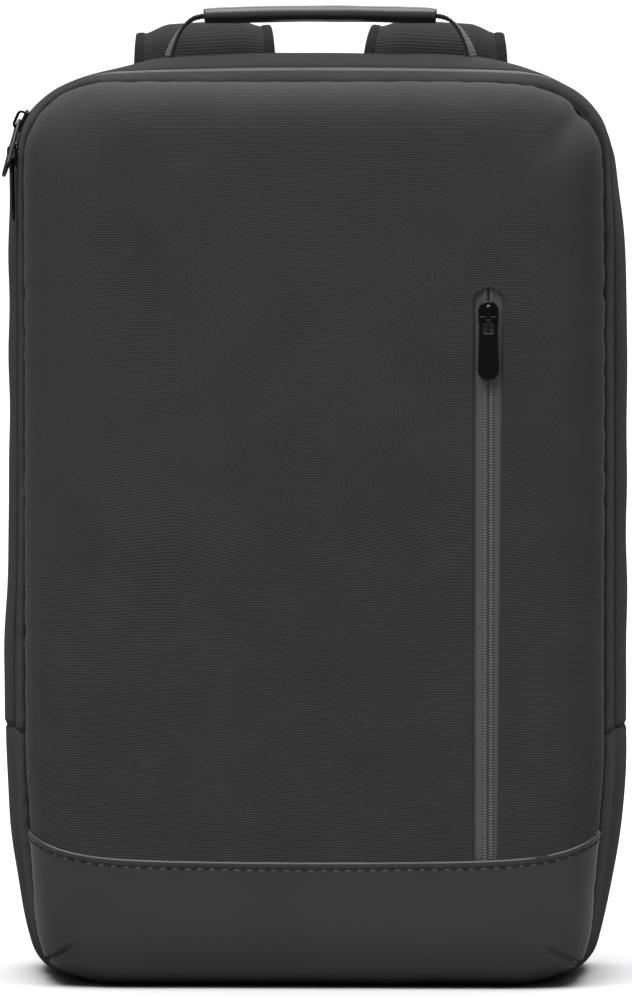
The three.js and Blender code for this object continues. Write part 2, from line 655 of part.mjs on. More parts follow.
// The point of the main zip's left run at a height, on the top of the coil, with its way up and its way out.
function sideZipFrame(height) {
  const left = ALL_NODES.slice(Math.floor(NODES / 2));
  const middle = rowAtDepth(zipY);
  const node = left.find((i) => skinPoint(middle, i).z >= height && skinPoint(middle, i + 1).z < height);
  const crossing = (row) => {
    const [above, below] = skinRing(row, [node, node + 1], coilRise - zipSink);
    return below.lerp(above, (height - below.z) / (above.z - below.z));
  };
  const [above, below] = skinRing(middle, [node, node + 1], coilRise - zipSink);
  const up = above.sub(below).normalize();
  const across = crossing(rowAtDepth(zipY - coilWidth / 2)).sub(crossing(rowAtDepth(zipY + coilWidth / 2)));
  const out = new THREE.Vector3().crossVectors(across, up).normalize();
  return { origin: crossing(middle), up, out };
}

// The pull hangs on its pin: yaw turns it on the slider's plate, swing lifts it off, and shift slides it on the pin.
function sliderAndPull(names, frame, wideEndUp, { swing = 0, yaw = 0, shift = 0 } = {}) {
  const place = zipFrame(frame.origin, frame.up, frame.out);
  const flip = new THREE.Matrix4().makeRotationZ(wideEndUp ? 0 : Math.PI);
  const slider = piece(names.slider, placed(sliderSolid(), place.clone().multiply(flip)), blackMetal);
  const pull = new THREE.Mesh(geometryOf(pullSolid()), blackMetal);
  pull.name = names.pull;
  pull.applyMatrix4(place
    .multiply(new THREE.Matrix4().makeTranslation(shift, -pinDrop, pinHeight))
    .multiply(new THREE.Matrix4().makeRotationZ(radians(yaw)))
    .multiply(new THREE.Matrix4().makeRotationX(-radians(swing))));
  return [slider, pull];
}

function pocketSliderAndPull() {
  const up = new THREE.Vector3(0, 0, 1);
  const out = new THREE.Vector3(0, -1, 0);
  const origin = new THREE.Vector3(pocketAcross, pocketTapeY - coilRise, pocketHingeHeight + pinDrop);
  return sliderAndPull({ slider: "pocket_slider", pull: "pocket_pull" }, { origin, up, out }, true);
}

function sideSlidersAndPulls() {
  return [
    ...sliderAndPull({ slider: "side_slider_upper", pull: "side_pull_upper" }, sideZipFrame(upperSliderHeight), false,
      { swing: upperPullSwing, yaw: upperPullYaw, shift: upperPullShift }),
    ...sliderAndPull({ slider: "side_slider_lower", pull: "side_pull_lower" }, sideZipFrame(lowerSliderHeight), true,
      { swing: lowerPullSwing }),
  ];
}

// A strip or pad carried along stations, each with its middle, its cross directions and its closed section.
function carried(stations) {
  const skin = new Skin();
  const rings = stations.map(({ middle, wide, thick, section }) =>
    skin.ring(section.map(([a, b]) => middle.clone().addScaledVector(wide, a).addScaledVector(thick, b))));
  for (let i = 0; i < rings.length - 1; i++) {
    skin.bridge(rings[i], rings[i + 1], true);
  }
  skin.fan(rings[0], stations[0].middle);
  skin.fan(rings[rings.length - 1], stations[stations.length - 1].middle, true);
  return skin.solid();
}

// A rectangle with rounded corners, as points [a, b] about its middle.
function roundedSection(width, thickness, radius, steps) {
  const points = [];
  [[1, 1], [-1, 1], [-1, -1], [1, -1]].forEach(([sx, sy], corner) => {
    for (let i = 0; i <= steps; i++) {
      const a = (Math.PI / 2) * (corner + i / steps);
      points.push([
        sx * (width / 2 - radius) + radius * Math.cos(a),
        sy * (thickness / 2 - radius) + radius * Math.sin(a),
      ]);
    }
  });
  return points;
}

// Handle
const handleY = frontY + handleDepth;
const gripHeight = bagHeight + handleRise;

// Height of the bag's top at a place, from the skin on both edges and the middle of the webbing.
function topHeight(x) {
  const heights = [-0.5, 0, 0.5].map((share) => {
    const ring = skinRing(rowAtDepth(handleY + share * handleWebWidth), overTop, 0);
    const i = ring.findIndex((p, k) => p.x >= x && ring[k + 1].x < x && p.z > highSide);
    const part = (ring[i].x - x) / (ring[i].x - ring[i + 1].x);
    return ring[i].z + part * (ring[i + 1].z - ring[i].z);
  });
  return Math.max(...heights);
}

function handlePath() {
  const leg = (side) => {
    const foot = topHeight(handleAcross + (side * handleSpan) / 2) + seamGap;
    return HANDLE.map(({ across, up, turn }) => ({
      x: (side * across * handleSpan) / 2,
      z: foot + up * (gripHeight - foot),
      turn: side * radians(turn),
    }));
  };
  const right = leg(1);
  const gripStart = right[right.length - 1].x;
  const held = [0.66, 0.33, 0, -0.33, -0.66].map((share) => ({
    x: share * gripStart,
    z: gripHeight + gripArch * (1 - share ** 2),
    turn: 0,
  }));
  return [...right, ...held, ...leg(-1).reverse()];
}

function handleStations(section, path) {
  return path.map(({ x, z, turn }, i) => {
    const before = path[Math.max(i - 1, 0)];
    const after = path[Math.min(i + 1, path.length - 1)];
    const along = new THREE.Vector3(after.x - before.x, 0, after.z - before.z).normalize();
    const wide = new THREE.Vector3(Math.sin(turn), Math.cos(turn), 0);
    wide.addScaledVector(along, -wide.dot(along)).normalize();
    const thick = new THREE.Vector3().crossVectors(wide, along);
    return { middle: new THREE.Vector3(handleAcross + x, handleY, z), wide, thick, section };
  });
}

function handleWebbing() {
  const section = roundedSection(handleWebWidth, handleWebThickness, handleWebThickness / 3, 1);
  const stations = handleStations(section, handlePath());
  for (const end of [stations[0], stations[stations.length - 1]]) {
    end.thick = new THREE.Vector3(1, 0, 0);
    end.wide.setZ(0).normalize();
  }
  return carried(stations);
}

function handleGrip() {
  const path = handlePath();
  const start = path[HANDLE.length];
  const top = path[Math.floor(path.length / 2)];
  const reach = gripLength / 2;
  const steps = 8;
  const line = spaced(reach, -reach, steps + 1).map((x) => ({
    x,
    z: top.z - (top.z - start.z) * (x / start.x) ** 2,
    turn: 0,
  }));
  const outside = roundedSection(gripWidth, gripThickness, gripThickness * 0.48, 4);
  const slotWidth = handleWebWidth + 2 * gripCore;
  const slotHeight = handleWebThickness + 2 * gripCore;
  const slotLine = line.map((p) => ({ ...p, x: p.x * 1.02 }));
  const body = carried(handleStations(outside, line));
  return body.subtract(carried(handleStations(roundedSection(slotWidth, slotHeight, slotHeight / 4, 1), slotLine)));
}

// Shoulder straps
function strapPath() {
  const middle = (row) => new THREE.Vector3(
    strapPitch / 2 + row.out * halfWidth, backY + row.back * strapBow, row.up * bagHeight);
  return new THREE.CatmullRomCurve3(STRAP.map(middle), false, "centripetal");
}

function strapStation(curve, t) {
  const place = t * (STRAP.length - 1);
  const i = Math.min(Math.floor(place), STRAP.length - 2);
  const part = place - i;
  const value = (column) => STRAP[i][column] * (1 - part) + STRAP[i + 1][column] * part;
  const along = curve.getTangent(t);
  const wide = new THREE.Vector3(1, 0, 0);
  wide.addScaledVector(along, -wide.x * along.x).normalize();
  wide.applyAxisAngle(along, radians(value("lean")));
  const thick = new THREE.Vector3().crossVectors(wide, along);
  const thickness = value("thick") * strapThickness;
  const section = roundedSection(value("wide") * strapWidth, thickness, thickness * 0.42, 2);
  return { middle: curve.getPoint(t), wide, thick, section };
}

function strapSolid() {
  const curve = strapPath();
  const steps = 2 * (STRAP.length - 1);
  const stations = spaced(0, 1, steps + 1).map((t) => strapStation(curve, t));
  const { place } = strapEndFrame();
  place.extractBasis(stations[steps].wide, new THREE.Vector3(), stations[steps].thick);
  return carried(stations);
}

// The frame at a strap's lower end: y down along the webbing to its anchor, x across, z away from the bag.
function strapEndFrame() {
  const end = strapPath().getPoint(1);
  const leg = adjusterThickness / 2 + seamGap + webThickness;
  const anchor = new THREE.Vector3(anchorAcross, backY + leg + 2 * seamGap, anchorHeight);
  const down = anchor.clone().sub(end).normalize();
  const across = new THREE.Vector3(1, 0, 0);
  across.addScaledVector(down, -across.dot(down)).normalize();
  const out = new THREE.Vector3().crossVectors(across, down);
  const length = anchor.distanceTo(end);
  return { place: new THREE.Matrix4().makeBasis(across, down, out).setPosition(end), length };
}

function adjusterSolid() {
  const top = adjusterOffset;
  const shape = new THREE.Shape();
  const radius = 3;
  shape.absarc(-adjusterWidth / 2 + radius, top + radius, radius, Math.PI, 1.5 * Math.PI);
  shape.absarc(adjusterWidth / 2 - radius, top + radius, radius, 1.5 * Math.PI, 2 * Math.PI);
  shape.absarc(adjusterWidth / 2 - radius, top + adjusterLength - radius, radius, 0, Math.PI / 2);
  shape.absarc(-adjusterWidth / 2 + radius, top + adjusterLength - radius, radius, Math.PI / 2, Math.PI);
  const slotLength = (adjusterLength - 3 * adjusterBar) / 2;
  for (const start of [top + adjusterBar, top + 2 * adjusterBar + slotLength]) {
    const slot = new THREE.Path();
    slot.moveTo(-adjusterSlot / 2, start);
    slot.lineTo(-adjusterSlot / 2, start + slotLength);
    slot.lineTo(adjusterSlot / 2, start + slotLength);
    slot.lineTo(adjusterSlot / 2, start);
    shape.holes.push(slot);
  }
  return placed(extruded(shape, adjusterThickness, 2), new THREE.Matrix4().setPosition(0, 0, -adjusterThickness / 2));
}

// A webbing fold that passes round a bar: two legs and a half-round bend, drawn in y and z, as wide as the webbing.
function foldedWebbing(bendAt, bendUp, outerEnd, innerEnd) {
  const inside = adjusterThickness / 2 + seamGap;
  const outside = inside + webThickness;
  const turn = bendUp ? Math.PI : 0;
  const shape = new THREE.Shape();
  shape.moveTo(outerEnd, inside);
  shape.lineTo(bendAt, inside);
  shape.absarc(bendAt, 0, inside, Math.PI / 2, -Math.PI / 2, !bendUp);
  shape.lineTo(innerEnd, -inside);
  shape.lineTo(innerEnd, -outside);
  shape.lineTo(bendAt, -outside);
  shape.absarc(bendAt, 0, outside, -Math.PI / 2, Math.PI / 2, bendUp);
  shape.lineTo(outerEnd, outside);
  const basis = new THREE.Matrix4().makeBasis(
    new THREE.Vector3(0, 1, 0), new THREE.Vector3(0, 0, 1), new THREE.Vector3(1, 0, 0));
  return placed(extruded(shape, webWidth, 6), basis.setPosition(-webWidth / 2, 0, 0));
}

function strapSide(side) {
  const name = side > 0 ? "right" : "left";
  const { place, length } = strapEndFrame();
  const slotLength = (adjusterLength - 3 * adjusterBar) / 2;
  const topBar = adjusterOffset + adjusterBar;
  const middleBar = topBar + slotLength;
  const solids = [
    ["strap", strapSolid(), canvasCloth],
    ["adjuster", placed(adjusterSolid(), place), blackPlastic],
    ["adjuster_loop", placed(foldedWebbing(topBar, false, seamGap, seamGap), place), wovenWebbing],
    ["strap_webbing", placed(foldedWebbing(middleBar, true, middleBar + webTail, length), place),
      wovenWebbing],
  ];
  return solids.map(([what, solid, material]) =>
    piece(what + "_" + name, side > 0 ? solid : mirrored(solid), material));
}

const bag = new THREE.Group();
bag.name = "laptop_backpack";
bag.add(
  piece("front_panel", frontPanel(), canvasCloth),
  piece("leather_panel", leatherPanel(), smoothLeather),
  piece("gusset_front", gussetFront(), gussetCloth),
  piece("gusset_rear", gussetRear(), gussetCloth),
  piece("gusset_lower", gussetLower(), gussetCloth),
  piece("main_zip", mainZip(), coatedTape),
  piece("back_panel", backPanel(), canvasCloth),
  piece("pocket_zip", pocketZip(), coatedTape),
  ...pocketSliderAndPull(),
  ...sideSlidersAndPulls(),
  piece("handle_webbing", handleWebbing(), wovenWebbing),
  piece("handle_grip", handleGrip(), smoothLeather),
  ...strapSide(-1),
  ...strapSide(1),
);

export default bag;
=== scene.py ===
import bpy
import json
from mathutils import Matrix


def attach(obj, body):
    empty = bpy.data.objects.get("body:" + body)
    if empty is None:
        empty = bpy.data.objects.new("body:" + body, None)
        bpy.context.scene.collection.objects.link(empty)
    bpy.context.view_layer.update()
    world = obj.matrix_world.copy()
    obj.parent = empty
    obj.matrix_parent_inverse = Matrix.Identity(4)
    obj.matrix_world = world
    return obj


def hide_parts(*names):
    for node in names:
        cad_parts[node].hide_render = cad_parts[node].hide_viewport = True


bl_info = {
    "name": "Laptop Backpack",
    "version": (1, 0, 0),
    "blender": (4, 5, 0),
    "location": "3D View > Sidebar > Backpack",
    "description": "Dresses a packed laptop backpack in cloth, leather and zip hardware, and lights it",
    "category": "Object",
}

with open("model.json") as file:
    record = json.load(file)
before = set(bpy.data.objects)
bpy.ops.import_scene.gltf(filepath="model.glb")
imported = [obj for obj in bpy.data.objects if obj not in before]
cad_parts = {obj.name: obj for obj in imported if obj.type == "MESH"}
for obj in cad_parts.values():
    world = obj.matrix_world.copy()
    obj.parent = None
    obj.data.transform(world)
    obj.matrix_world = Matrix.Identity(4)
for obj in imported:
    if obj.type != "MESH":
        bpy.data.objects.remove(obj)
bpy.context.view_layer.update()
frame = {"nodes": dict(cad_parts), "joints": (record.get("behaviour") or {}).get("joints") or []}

import json
import math

import bmesh
import bpy
import numpy as np
from bpy.props import FloatProperty, FloatVectorProperty, PointerProperty
from mathutils import Vector

mm = 0.001

# The bag's skin from the front face to the back seam, one row each: depth, half width, top, foot, corner x,
# corner z, crown, taper, taper power, foot corner. Depth is a share of the bag's depth; half width, corner
# x and taper are shares of half its width; the other lengths are shares of its height.
SKIN_ROWS = np.array([
    (0.0, 0.432, 0.796, 0.222, 0.139, 0.047, 0.0, 0.0, 1.2, 0.055),
    (0.0, 0.697, 0.904, 0.084, 0.181, 0.056, 0.001, 0.028, 1.2, 0.06),
    (0.012, 0.787, 0.932, 0.045, 0.216, 0.068, 0.001, 0.042, 1.2, 0.066),
    (0.042, 0.85, 0.949, 0.022, 0.244, 0.077, 0.0015, 0.056, 1.2, 0.07),
    (0.088, 0.892, 0.959, 0.0095, 0.265, 0.084, 0.002, 0.063, 1.2, 0.071),
    (0.142, 0.913, 0.963, 0.0035, 0.275, 0.088, 0.002, 0.063, 1.2, 0.07),
    (0.2, 0.92, 0.964, 0.0018, 0.279, 0.089, 0.002, 0.063, 1.2, 0.07),
    (0.25, 0.932, 0.969, 0.0, 0.286, 0.089, 0.003, 0.066, 1.3, 0.062),
    (0.333, 0.944, 0.975, 0.0, 0.3, 0.089, 0.005, 0.07, 1.5, 0.053),
    (0.442, 0.953, 0.98, 0.0, 0.328, 0.09, 0.007, 0.082, 1.7, 0.046),
    (0.575, 0.98, 0.99, 0.0, 0.432, 0.105, 0.0105, 0.098, 2.0, 0.036),
    (0.725, 0.9985, 0.998, 0.0, 0.544, 0.119, 0.014, 0.105, 2.0, 0.035),
    (0.858, 1.0, 1.0, 0.0, 0.557, 0.122, 0.014, 0.105, 2.0, 0.035),
    (0.942, 0.99, 0.995, 0.0, 0.55, 0.121, 0.014, 0.105, 2.0, 0.035),
    (1.0, 0.965, 0.985, 0.0035, 0.537, 0.117, 0.013, 0.098, 2.0, 0.034),
])

# Where the cloth has slumped or puffed: across (of half the width), up (of the height), depth (of the
# depth), then reach and push (of the height). A negative push stands out.
DENTS = np.array([
    (0.95, 0.91, 0.76, 0.085, 0.016),
    (-0.74, 0.965, 0.8, 0.09, 0.0045),
    (0.8, 0.93, 0.02, 0.06, 0.008),
    (-0.7, 0.87, 0.0, 0.1, -0.004),
    (-1.0, 0.33, 0.7, 0.1, -0.006),
    (-0.95, 0.1, 0.6, 0.12, -0.004),
    (0.94, 0.05, 0.7, 0.08, 0.004),
    (-0.83, 0.05, 0.04, 0.03, 0.003),
    (0.83, 0.05, 0.04, 0.03, 0.003),
])

# A shoulder strap from its seam on the back panel to its lower end: up (of the height), back (of the
# strap's bow), out (of half the width), wide and thick (of the strap's full size), and its roll in degrees.
STRAP_ROWS = np.array([
    (0.9, 0.066, 0.0, 0.97, 0.4, 0),
    (0.945, 0.076, 0.0, 1.0, 0.46, 0),
    (0.985, 0.135, 0.002, 0.985, 0.8, 1),
    (1.0155, 0.26, 0.006, 0.955, 1.0, 2.5),
    (1.027, 0.46, 0.01, 0.93, 1.0, 3.5),
    (1.014, 0.67, 0.01, 0.94, 1.0, 2.5),
    (0.977, 0.82, 0.01, 0.96, 1.0, 1),
    (0.918, 0.93, 0.012, 0.98, 1.0, 0),
    (0.82, 1.0, 0.014, 1.0, 1.0, 0),
    (0.7, 0.985, 0.03, 0.99, 1.0, 0),
    (0.585, 0.89, 0.06, 0.93, 0.97, 0),
    (0.49, 0.79, 0.1, 0.83, 0.9, 0),
    (0.425, 0.71, 0.14, 0.7, 0.78, 0),
])

# Half of the handle, foot to grip: across (of half its span), up (of its rise) and the webbing's turn in
# degrees.
HANDLE_ROWS = np.array([
    (1.0, 0.0, 11),
    (0.985, 0.18, 10),
    (0.958, 0.42, 8),
    (0.912, 0.7, 5),
    (0.85, 0.91, 2),
    (0.79, 0.99, 0),
])

# Small folds sewn into the foot's lower corners: side, start and end in x and z, and depth.
FOOT_TUCKS = (
    (-1, (-121 * mm, 12.6 * mm), (-109.4 * mm, 19.8 * mm), 2.3 * mm),
    (1, (120 * mm, 11.6 * mm), (106.2 * mm, 18.3 * mm), 1.9 * mm),
)

# Rows of the foot below its folded edge, close together at the edge and at the stitches.
FOOT_ROWS = np.array([0, 0.12, 0.25, 0.4, 0.6, 0.85, 1.15, 1.5, 1.9, 2.25, 2.5, 2.7, 2.9, 3.1, 3.3, 3.6, 4,
                      4.6, 5.4, 6.6, 8])

# Columns of the zips' tapes, close together at the coil: shares of half the main zip's shown width, and
# millimetres from the middle of the pocket's.
MAIN_LANES = np.array([0.03, 0.1, 0.22, 0.36, 0.5, 0.6, 0.68, 0.8, 1])
POCKET_LANES = np.array([0, 0.12, 0.25, 0.5, 0.9, 1.3, 1.7, 2.1, 2.5, 2.8, 3.1, 3.6, 4.4, 5.4, 6.4])

# Heights of the back pad's sewn channels at its edges, as shares of the bag's.
CHANNELS = (0.3, 0.52, 0.74)

# Soft boxes round the bag: name, turn from the front and rise in degrees, distance, size and power.
SOFTBOXES = (
    ("Key", -22, 52, 1.25, (0.8, 0.8), 5.9),
    ("Rim left", -135, 35, 2.0, (0.8, 1.0), 3.2),
    ("Rim right", 135, 35, 2.0, (0.8, 1.0), 2.6),
    ("Back", 172, 28, 2.2, (1.4, 1.2), 15.0),
)

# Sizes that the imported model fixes, in metres.
BAG_WIDTH, BAG_HEIGHT, BAG_DEPTH, BACK_PAD = 287 * mm, 427 * mm, 120 * mm, 10 * mm
HALF_WIDTH = BAG_WIDTH / 2
FRONT_Y = -(BAG_DEPTH + BACK_PAD) / 2
SEAM_Y = FRONT_Y + 25 * mm
ZIP_Y = FRONT_Y + 53 * mm
BACK_SEAM_Y = FRONT_Y + BAG_DEPTH
BACK_Y = BACK_SEAM_Y + BACK_PAD
TAPER_HEIGHT, CORNER_POWER, FOOT_POWER, FOOT_STRETCH = 105 * mm, 2.2, 2.6, 1.33
LEATHER_HEIGHT, LEATHER_SWEEP, LEATHER_UPTURN = 57.8 * mm, 2.5 * mm, 12 * mm
ZIP_SHOWN, ZIP_END_HEIGHT = 9 * mm, 115 * mm
POCKET_ACROSS, POCKET_TOP = 79 * mm, 317 * mm
POCKET_WINDOW, POCKET_WINDOW_FOOT, POCKET_CORNER = 12.7 * mm, 10.4 * mm, 3 * mm
HANDLE_SPAN, HANDLE_RISE, HANDLE_Y, HANDLE_ACROSS = 141 * mm, 17.2 * mm, FRONT_Y + 95 * mm, 1 * mm
STRAP_PITCH, STRAP_BOW = 108 * mm, 38 * mm
ADJUSTER_OFFSET, ADJUSTER_LENGTH, ADJUSTER_BAR, ADJUSTER_THICK = 5 * mm, 28 * mm, 4 * mm, 3.4 * mm
ADJUSTER_WIDTH, ADJUSTER_OPENING = 32 * mm, 26 * mm
ANCHOR_ACROSS, ANCHOR_HEIGHT, WEB_TAIL, WEB_WIDTH = 113 * mm, 34 * mm, 46 * mm, 24 * mm
WEB_THICK, WEB_CLEARANCE, ANCHOR_LIFT = 1.4 * mm, 0.3 * mm, 0.6 * mm
HANDLE_WEB_WIDTH, HANDLE_WEB_THICK, HANDLE_STEP, GRIP_HALF = 20 * mm, 1.6 * mm, 0.33 * mm, 54 * mm


def length(name, description, default):
    """A size that the user can change."""
    return FloatProperty(name=name, description=description, default=default, min=0.0, max=1.0,
                         subtype="DISTANCE", unit="LENGTH", precision=5)


def colour(name, description, default):
    """A linear colour that the user can change."""
    return FloatVectorProperty(name=name, description=description, default=default, min=0.0, max=1.0,
                               size=3, subtype="COLOR")


class BackpackSizes(bpy.types.PropertyGroup):
    """Sizes of the sewn and woven detail, in metres."""
    rib_pitch: length("Canvas rib", "Distance between the canvas's horizontal ribs", 1.15 * mm)
    twill_pitch: length("Twill rib", "Distance between the gusset cloth's diagonal ribs", 1.0 * mm)
    web_pitch: length("Webbing rib", "Distance between the ribs across the webbing", 1.3 * mm)
    coil_pitch: length("Coil pitch", "Distance between two bumps of a zip's coil", 1.25 * mm)
    stitch_pitch: length("Leather stitch", "Distance between the stitches on the leather's edge", 5.6 * mm)
    stitch_length: length("Leather stitch length", "Length of one stitch on the leather's edge", 4.4 * mm)
    stitch_inset: length("Stitch inset", "Leather's folded edge to its stitch line", 2.9 * mm)
    leather_fold: length("Leather fold", "How far the leather's folded edge stands out", 1.1 * mm)
    seam_dive: length("Seam depth", "How deep the cloth dives into a seam", 1.7 * mm)
    seam_pucker: length("Seam pucker", "Height of the puckers beside the front seam", 0.35 * mm)
    face_dome: length("Front fullness", "How far the middle of the front stands out", 1.2 * mm)
    strap_width: length("Strap width", "Width of a shoulder strap", 69 * mm)
    strap_thickness: length("Strap thickness", "Thickness of a shoulder strap", 10 * mm)
    grip_width: length("Grip width", "Width of the handle's leather grip", 24 * mm)
    grip_thickness: length("Grip thickness", "Thickness of the handle's leather grip", 7.6 * mm)
    web_thickness: length("Webbing thickness", "Thickness of the straps' webbing", WEB_THICK)
    pad_swell: length("Pad swell", "How far the foam of the back may swell", 4.0 * mm)


class BackpackColours(bpy.types.PropertyGroup):
    """Linear base colours of the cloths, leather, metal and plastic."""
    canvas: colour("Canvas", "Front panel's ribbed canvas", (0.046, 0.046, 0.047))
    gusset: colour("Gusset cloth", "Twill of the sides and top", (0.022, 0.022, 0.0225))
    leather: colour("Leather", "Coated leather of the foot and grip", (0.04, 0.04, 0.0415))
    tape: colour("Zip tape", "Coated tape of the zips", (0.115, 0.115, 0.117))
    metal: colour("Zip metal", "Plated sliders and pulls", (0.012, 0.012, 0.013))
    webbing: colour("Webbing", "Woven handle and strap webbing", (0.014, 0.014, 0.015))
    strap: colour("Strap cloth", "Ribbed cloth of the shoulder straps", (0.026, 0.026, 0.027))
    backing: colour("Back mesh", "Spacer mesh of the back panel", (0.034, 0.034, 0.035))
    thread: colour("Thread", "Sewing thread", (0.012, 0.012, 0.012))
    plastic: colour("Plastic", "Moulded strap adjusters", (0.012, 0.012, 0.013))
    floor: colour("Floor", "Pale studio floor", (0.82, 0.82, 0.82))


# Curves and tables.

def eased(table, at):
    """Rows of a table at fractional row numbers. Each column follows a cubic through its rows whose slope
    is the harmonic mean of its neighbours' where they agree and zero where they don't, so it never
    overshoots."""
    step = np.diff(table, axis=0)
    before, after = step[:-1], step[1:]
    slope = np.zeros_like(table)
    agree = before * after > 0
    slope[1:-1][agree] = 2 * before[agree] * after[agree] / (before[agree] + after[agree])
    slope[0], slope[-1] = step[0], step[-1]
    at = np.clip(np.asarray(at, float), 0, len(table) - 1)
    i = np.minimum(at.astype(int), len(table) - 2)
    t = (at - i)[..., None]
    h = t * t * (3 - 2 * t)
    return (table[i] * (1 - h) + table[i + 1] * h
            + slope[i] * t * (1 - t) ** 2 + slope[i + 1] * t * t * (t - 1))


def spline(points, at):
    """A centripetal spline through points, at fractional point numbers: each span runs at the square root
    of its chord's length, so it makes no loops at close points."""
    padded = np.vstack([2 * points[0] - points[1], points, 2 * points[-1] - points[-2]])
    at = np.clip(np.asarray(at, float), 0, len(points) - 1)
    i = np.minimum(at.astype(int), len(points) - 2)
    t = (at - i)[:, None]
    a, b, c, d = (padded[i + k] for k in range(4))
    first, middle, last = (np.sqrt(np.linalg.norm(q - p, axis=1))[:, None] for p, q in ((a, b), (b, c), (c, d)))
    leave = ((b - a) / first - (c - a) / (first + middle) + (c - b) / middle) * middle
    arrive = ((c - b) / middle - (d - b) / (middle + last) + (d - c) / last) * middle
    return (b * (2 * t ** 3 - 3 * t ** 2 + 1) + leave * (t ** 3 - 2 * t ** 2 + t)
            + c * (3 * t ** 2 - 2 * t ** 3) + arrive * (t ** 3 - t ** 2))


def lengths(line):
    """The distance along a polyline to each of its points."""
    return np.concatenate([[0], np.cumsum(np.linalg.norm(np.diff(line, axis=0), axis=1))])


def evened(line, count):
    """A polyline resampled at count even shares of its own length."""
    run = lengths(line)
    at = np.linspace(0, 1, count) * run[-1]
    return np.stack([np.interp(at, run, line[:, k]) for k in range(line.shape[1])], 1)


def crowded(count, strength=0.8):
    """Shares from 0 to 1 that crowd towards both ends: a straight ramp less a sine wave of one turn."""
    t = np.linspace(0, 1, count)
    return t - strength * np.sin(2 * np.pi * t) / (2 * np.pi)


def smooth(low, high, value):
    """0 up to low and 1 from high on, with the cubic 3 t^2 - 2 t^3 between."""
    t = np.clip((value - low) / (high - low), 0, 1)
    return t * t * (3 - 2 * t)


def ridge(distance, width):
    """A bell across a line: e to the power of minus the square of the distance over the width."""
    return np.exp(-(distance / width) ** 2)


def unit(vectors):
    """Vectors over their own lengths."""
    return vectors / np.maximum(np.linalg.norm(vectors, axis=-1, keepdims=True), 1e-12)


def ring_centre(ring):
    """A ring's centre in x and z: on the bag's middle plane, half way between its lowest and highest
    points."""
    return np.array([0.0, (ring[:, 1].min() + ring[:, 1].max()) / 2])


def wave_noise(at, wavelength, seed):
    """Uneven ripples between -1 and 1: the sum of five sines whose wavelengths lie around the given one."""
    rng = np.random.default_rng(seed)
    total = np.zeros_like(at, float)
    stretches, phases, weights = rng.uniform(0.6, 1.7, 5), rng.uniform(0, 2 * np.pi, 5), rng.uniform(0.6, 1, 5)
    for stretch, phase, weight in zip(stretches, phases, weights):
        total += weight * np.sin(2 * np.pi * at / (wavelength * stretch) + phase)
    return total / 2.6


# Skin of the bag.

def outlines(rows):
    """Closed outlines in x and z for rows of the skin. Each runs from the middle of the base along the
    flat, round a foot corner that is a quarter of a superellipse, up the side, round the top corner and
    along the crowned top, and the left half mirrors the right."""
    _, half, top, foot, corner_x, corner_z, crown, taper, power, foot_corner = (c[:, None] for c in rows.T)
    half, corner_x, taper = half * HALF_WIDTH, corner_x * HALF_WIDTH, taper / half
    up = top, foot, corner_z, crown, foot_corner
    top, foot, corner_z, crown, foot_corner = (v * BAG_HEIGHT for v in up)
    reach = foot_corner * FOOT_STRETCH
    shoulder, low = top - corner_z, foot + foot_corner
    flat = np.linspace(0, 1, 25)[None, :]
    bend = (np.linspace(0, 1, 23)[1:] * np.pi / 2)[None, :]
    side = np.linspace(0, 1, 81)[None, 1:-1]
    round_ = (np.linspace(0, 1, 35) * np.pi / 2)[None, :]
    rise = np.sin(round_) ** (2 / CORNER_POWER)
    corner_across = half - corner_x + corner_x * np.abs(np.cos(round_)) ** (2 / CORNER_POWER)
    over = (1 - np.linspace(0, 1, 25)[1:])[None, :] * (half - corner_x)
    x = np.concatenate([
        (half - reach) * flat,
        half - reach + reach * np.sin(bend) ** (2 / FOOT_POWER),
        half + 0 * side,
        corner_across,
        over,
    ], 1)
    z = np.concatenate([
        foot + 0 * flat,
        low - foot_corner * np.abs(np.cos(bend)) ** (2 / FOOT_POWER),
        low + side * (shoulder - low),
        shoulder + corner_z * rise - crown * rise * (corner_across / half) ** 2,
        shoulder + corner_z - crown * (over / half) ** 2,
    ], 1)
    x = x * (1 - taper * np.maximum(0, 1 - z / TAPER_HEIGHT) ** power)
    return np.concatenate([x, -x[:, -2:0:-1]], 1), np.concatenate([z, z[:, -2:0:-1]], 1)


def dent(points):
    """How far the skin is pressed in at each point: a sum of round bells, one for each row of DENTS."""
    across, up, depth, reach, push = DENTS.T
    centres = np.stack([across * HALF_WIDTH, FRONT_Y + depth * BAG_DEPTH, up * BAG_HEIGHT], 1)
    away = np.linalg.norm(points[..., None, :] - centres, axis=-1) / (reach * BAG_HEIGHT)
    return (push * BAG_HEIGHT * np.exp(-away ** 2)).sum(-1)


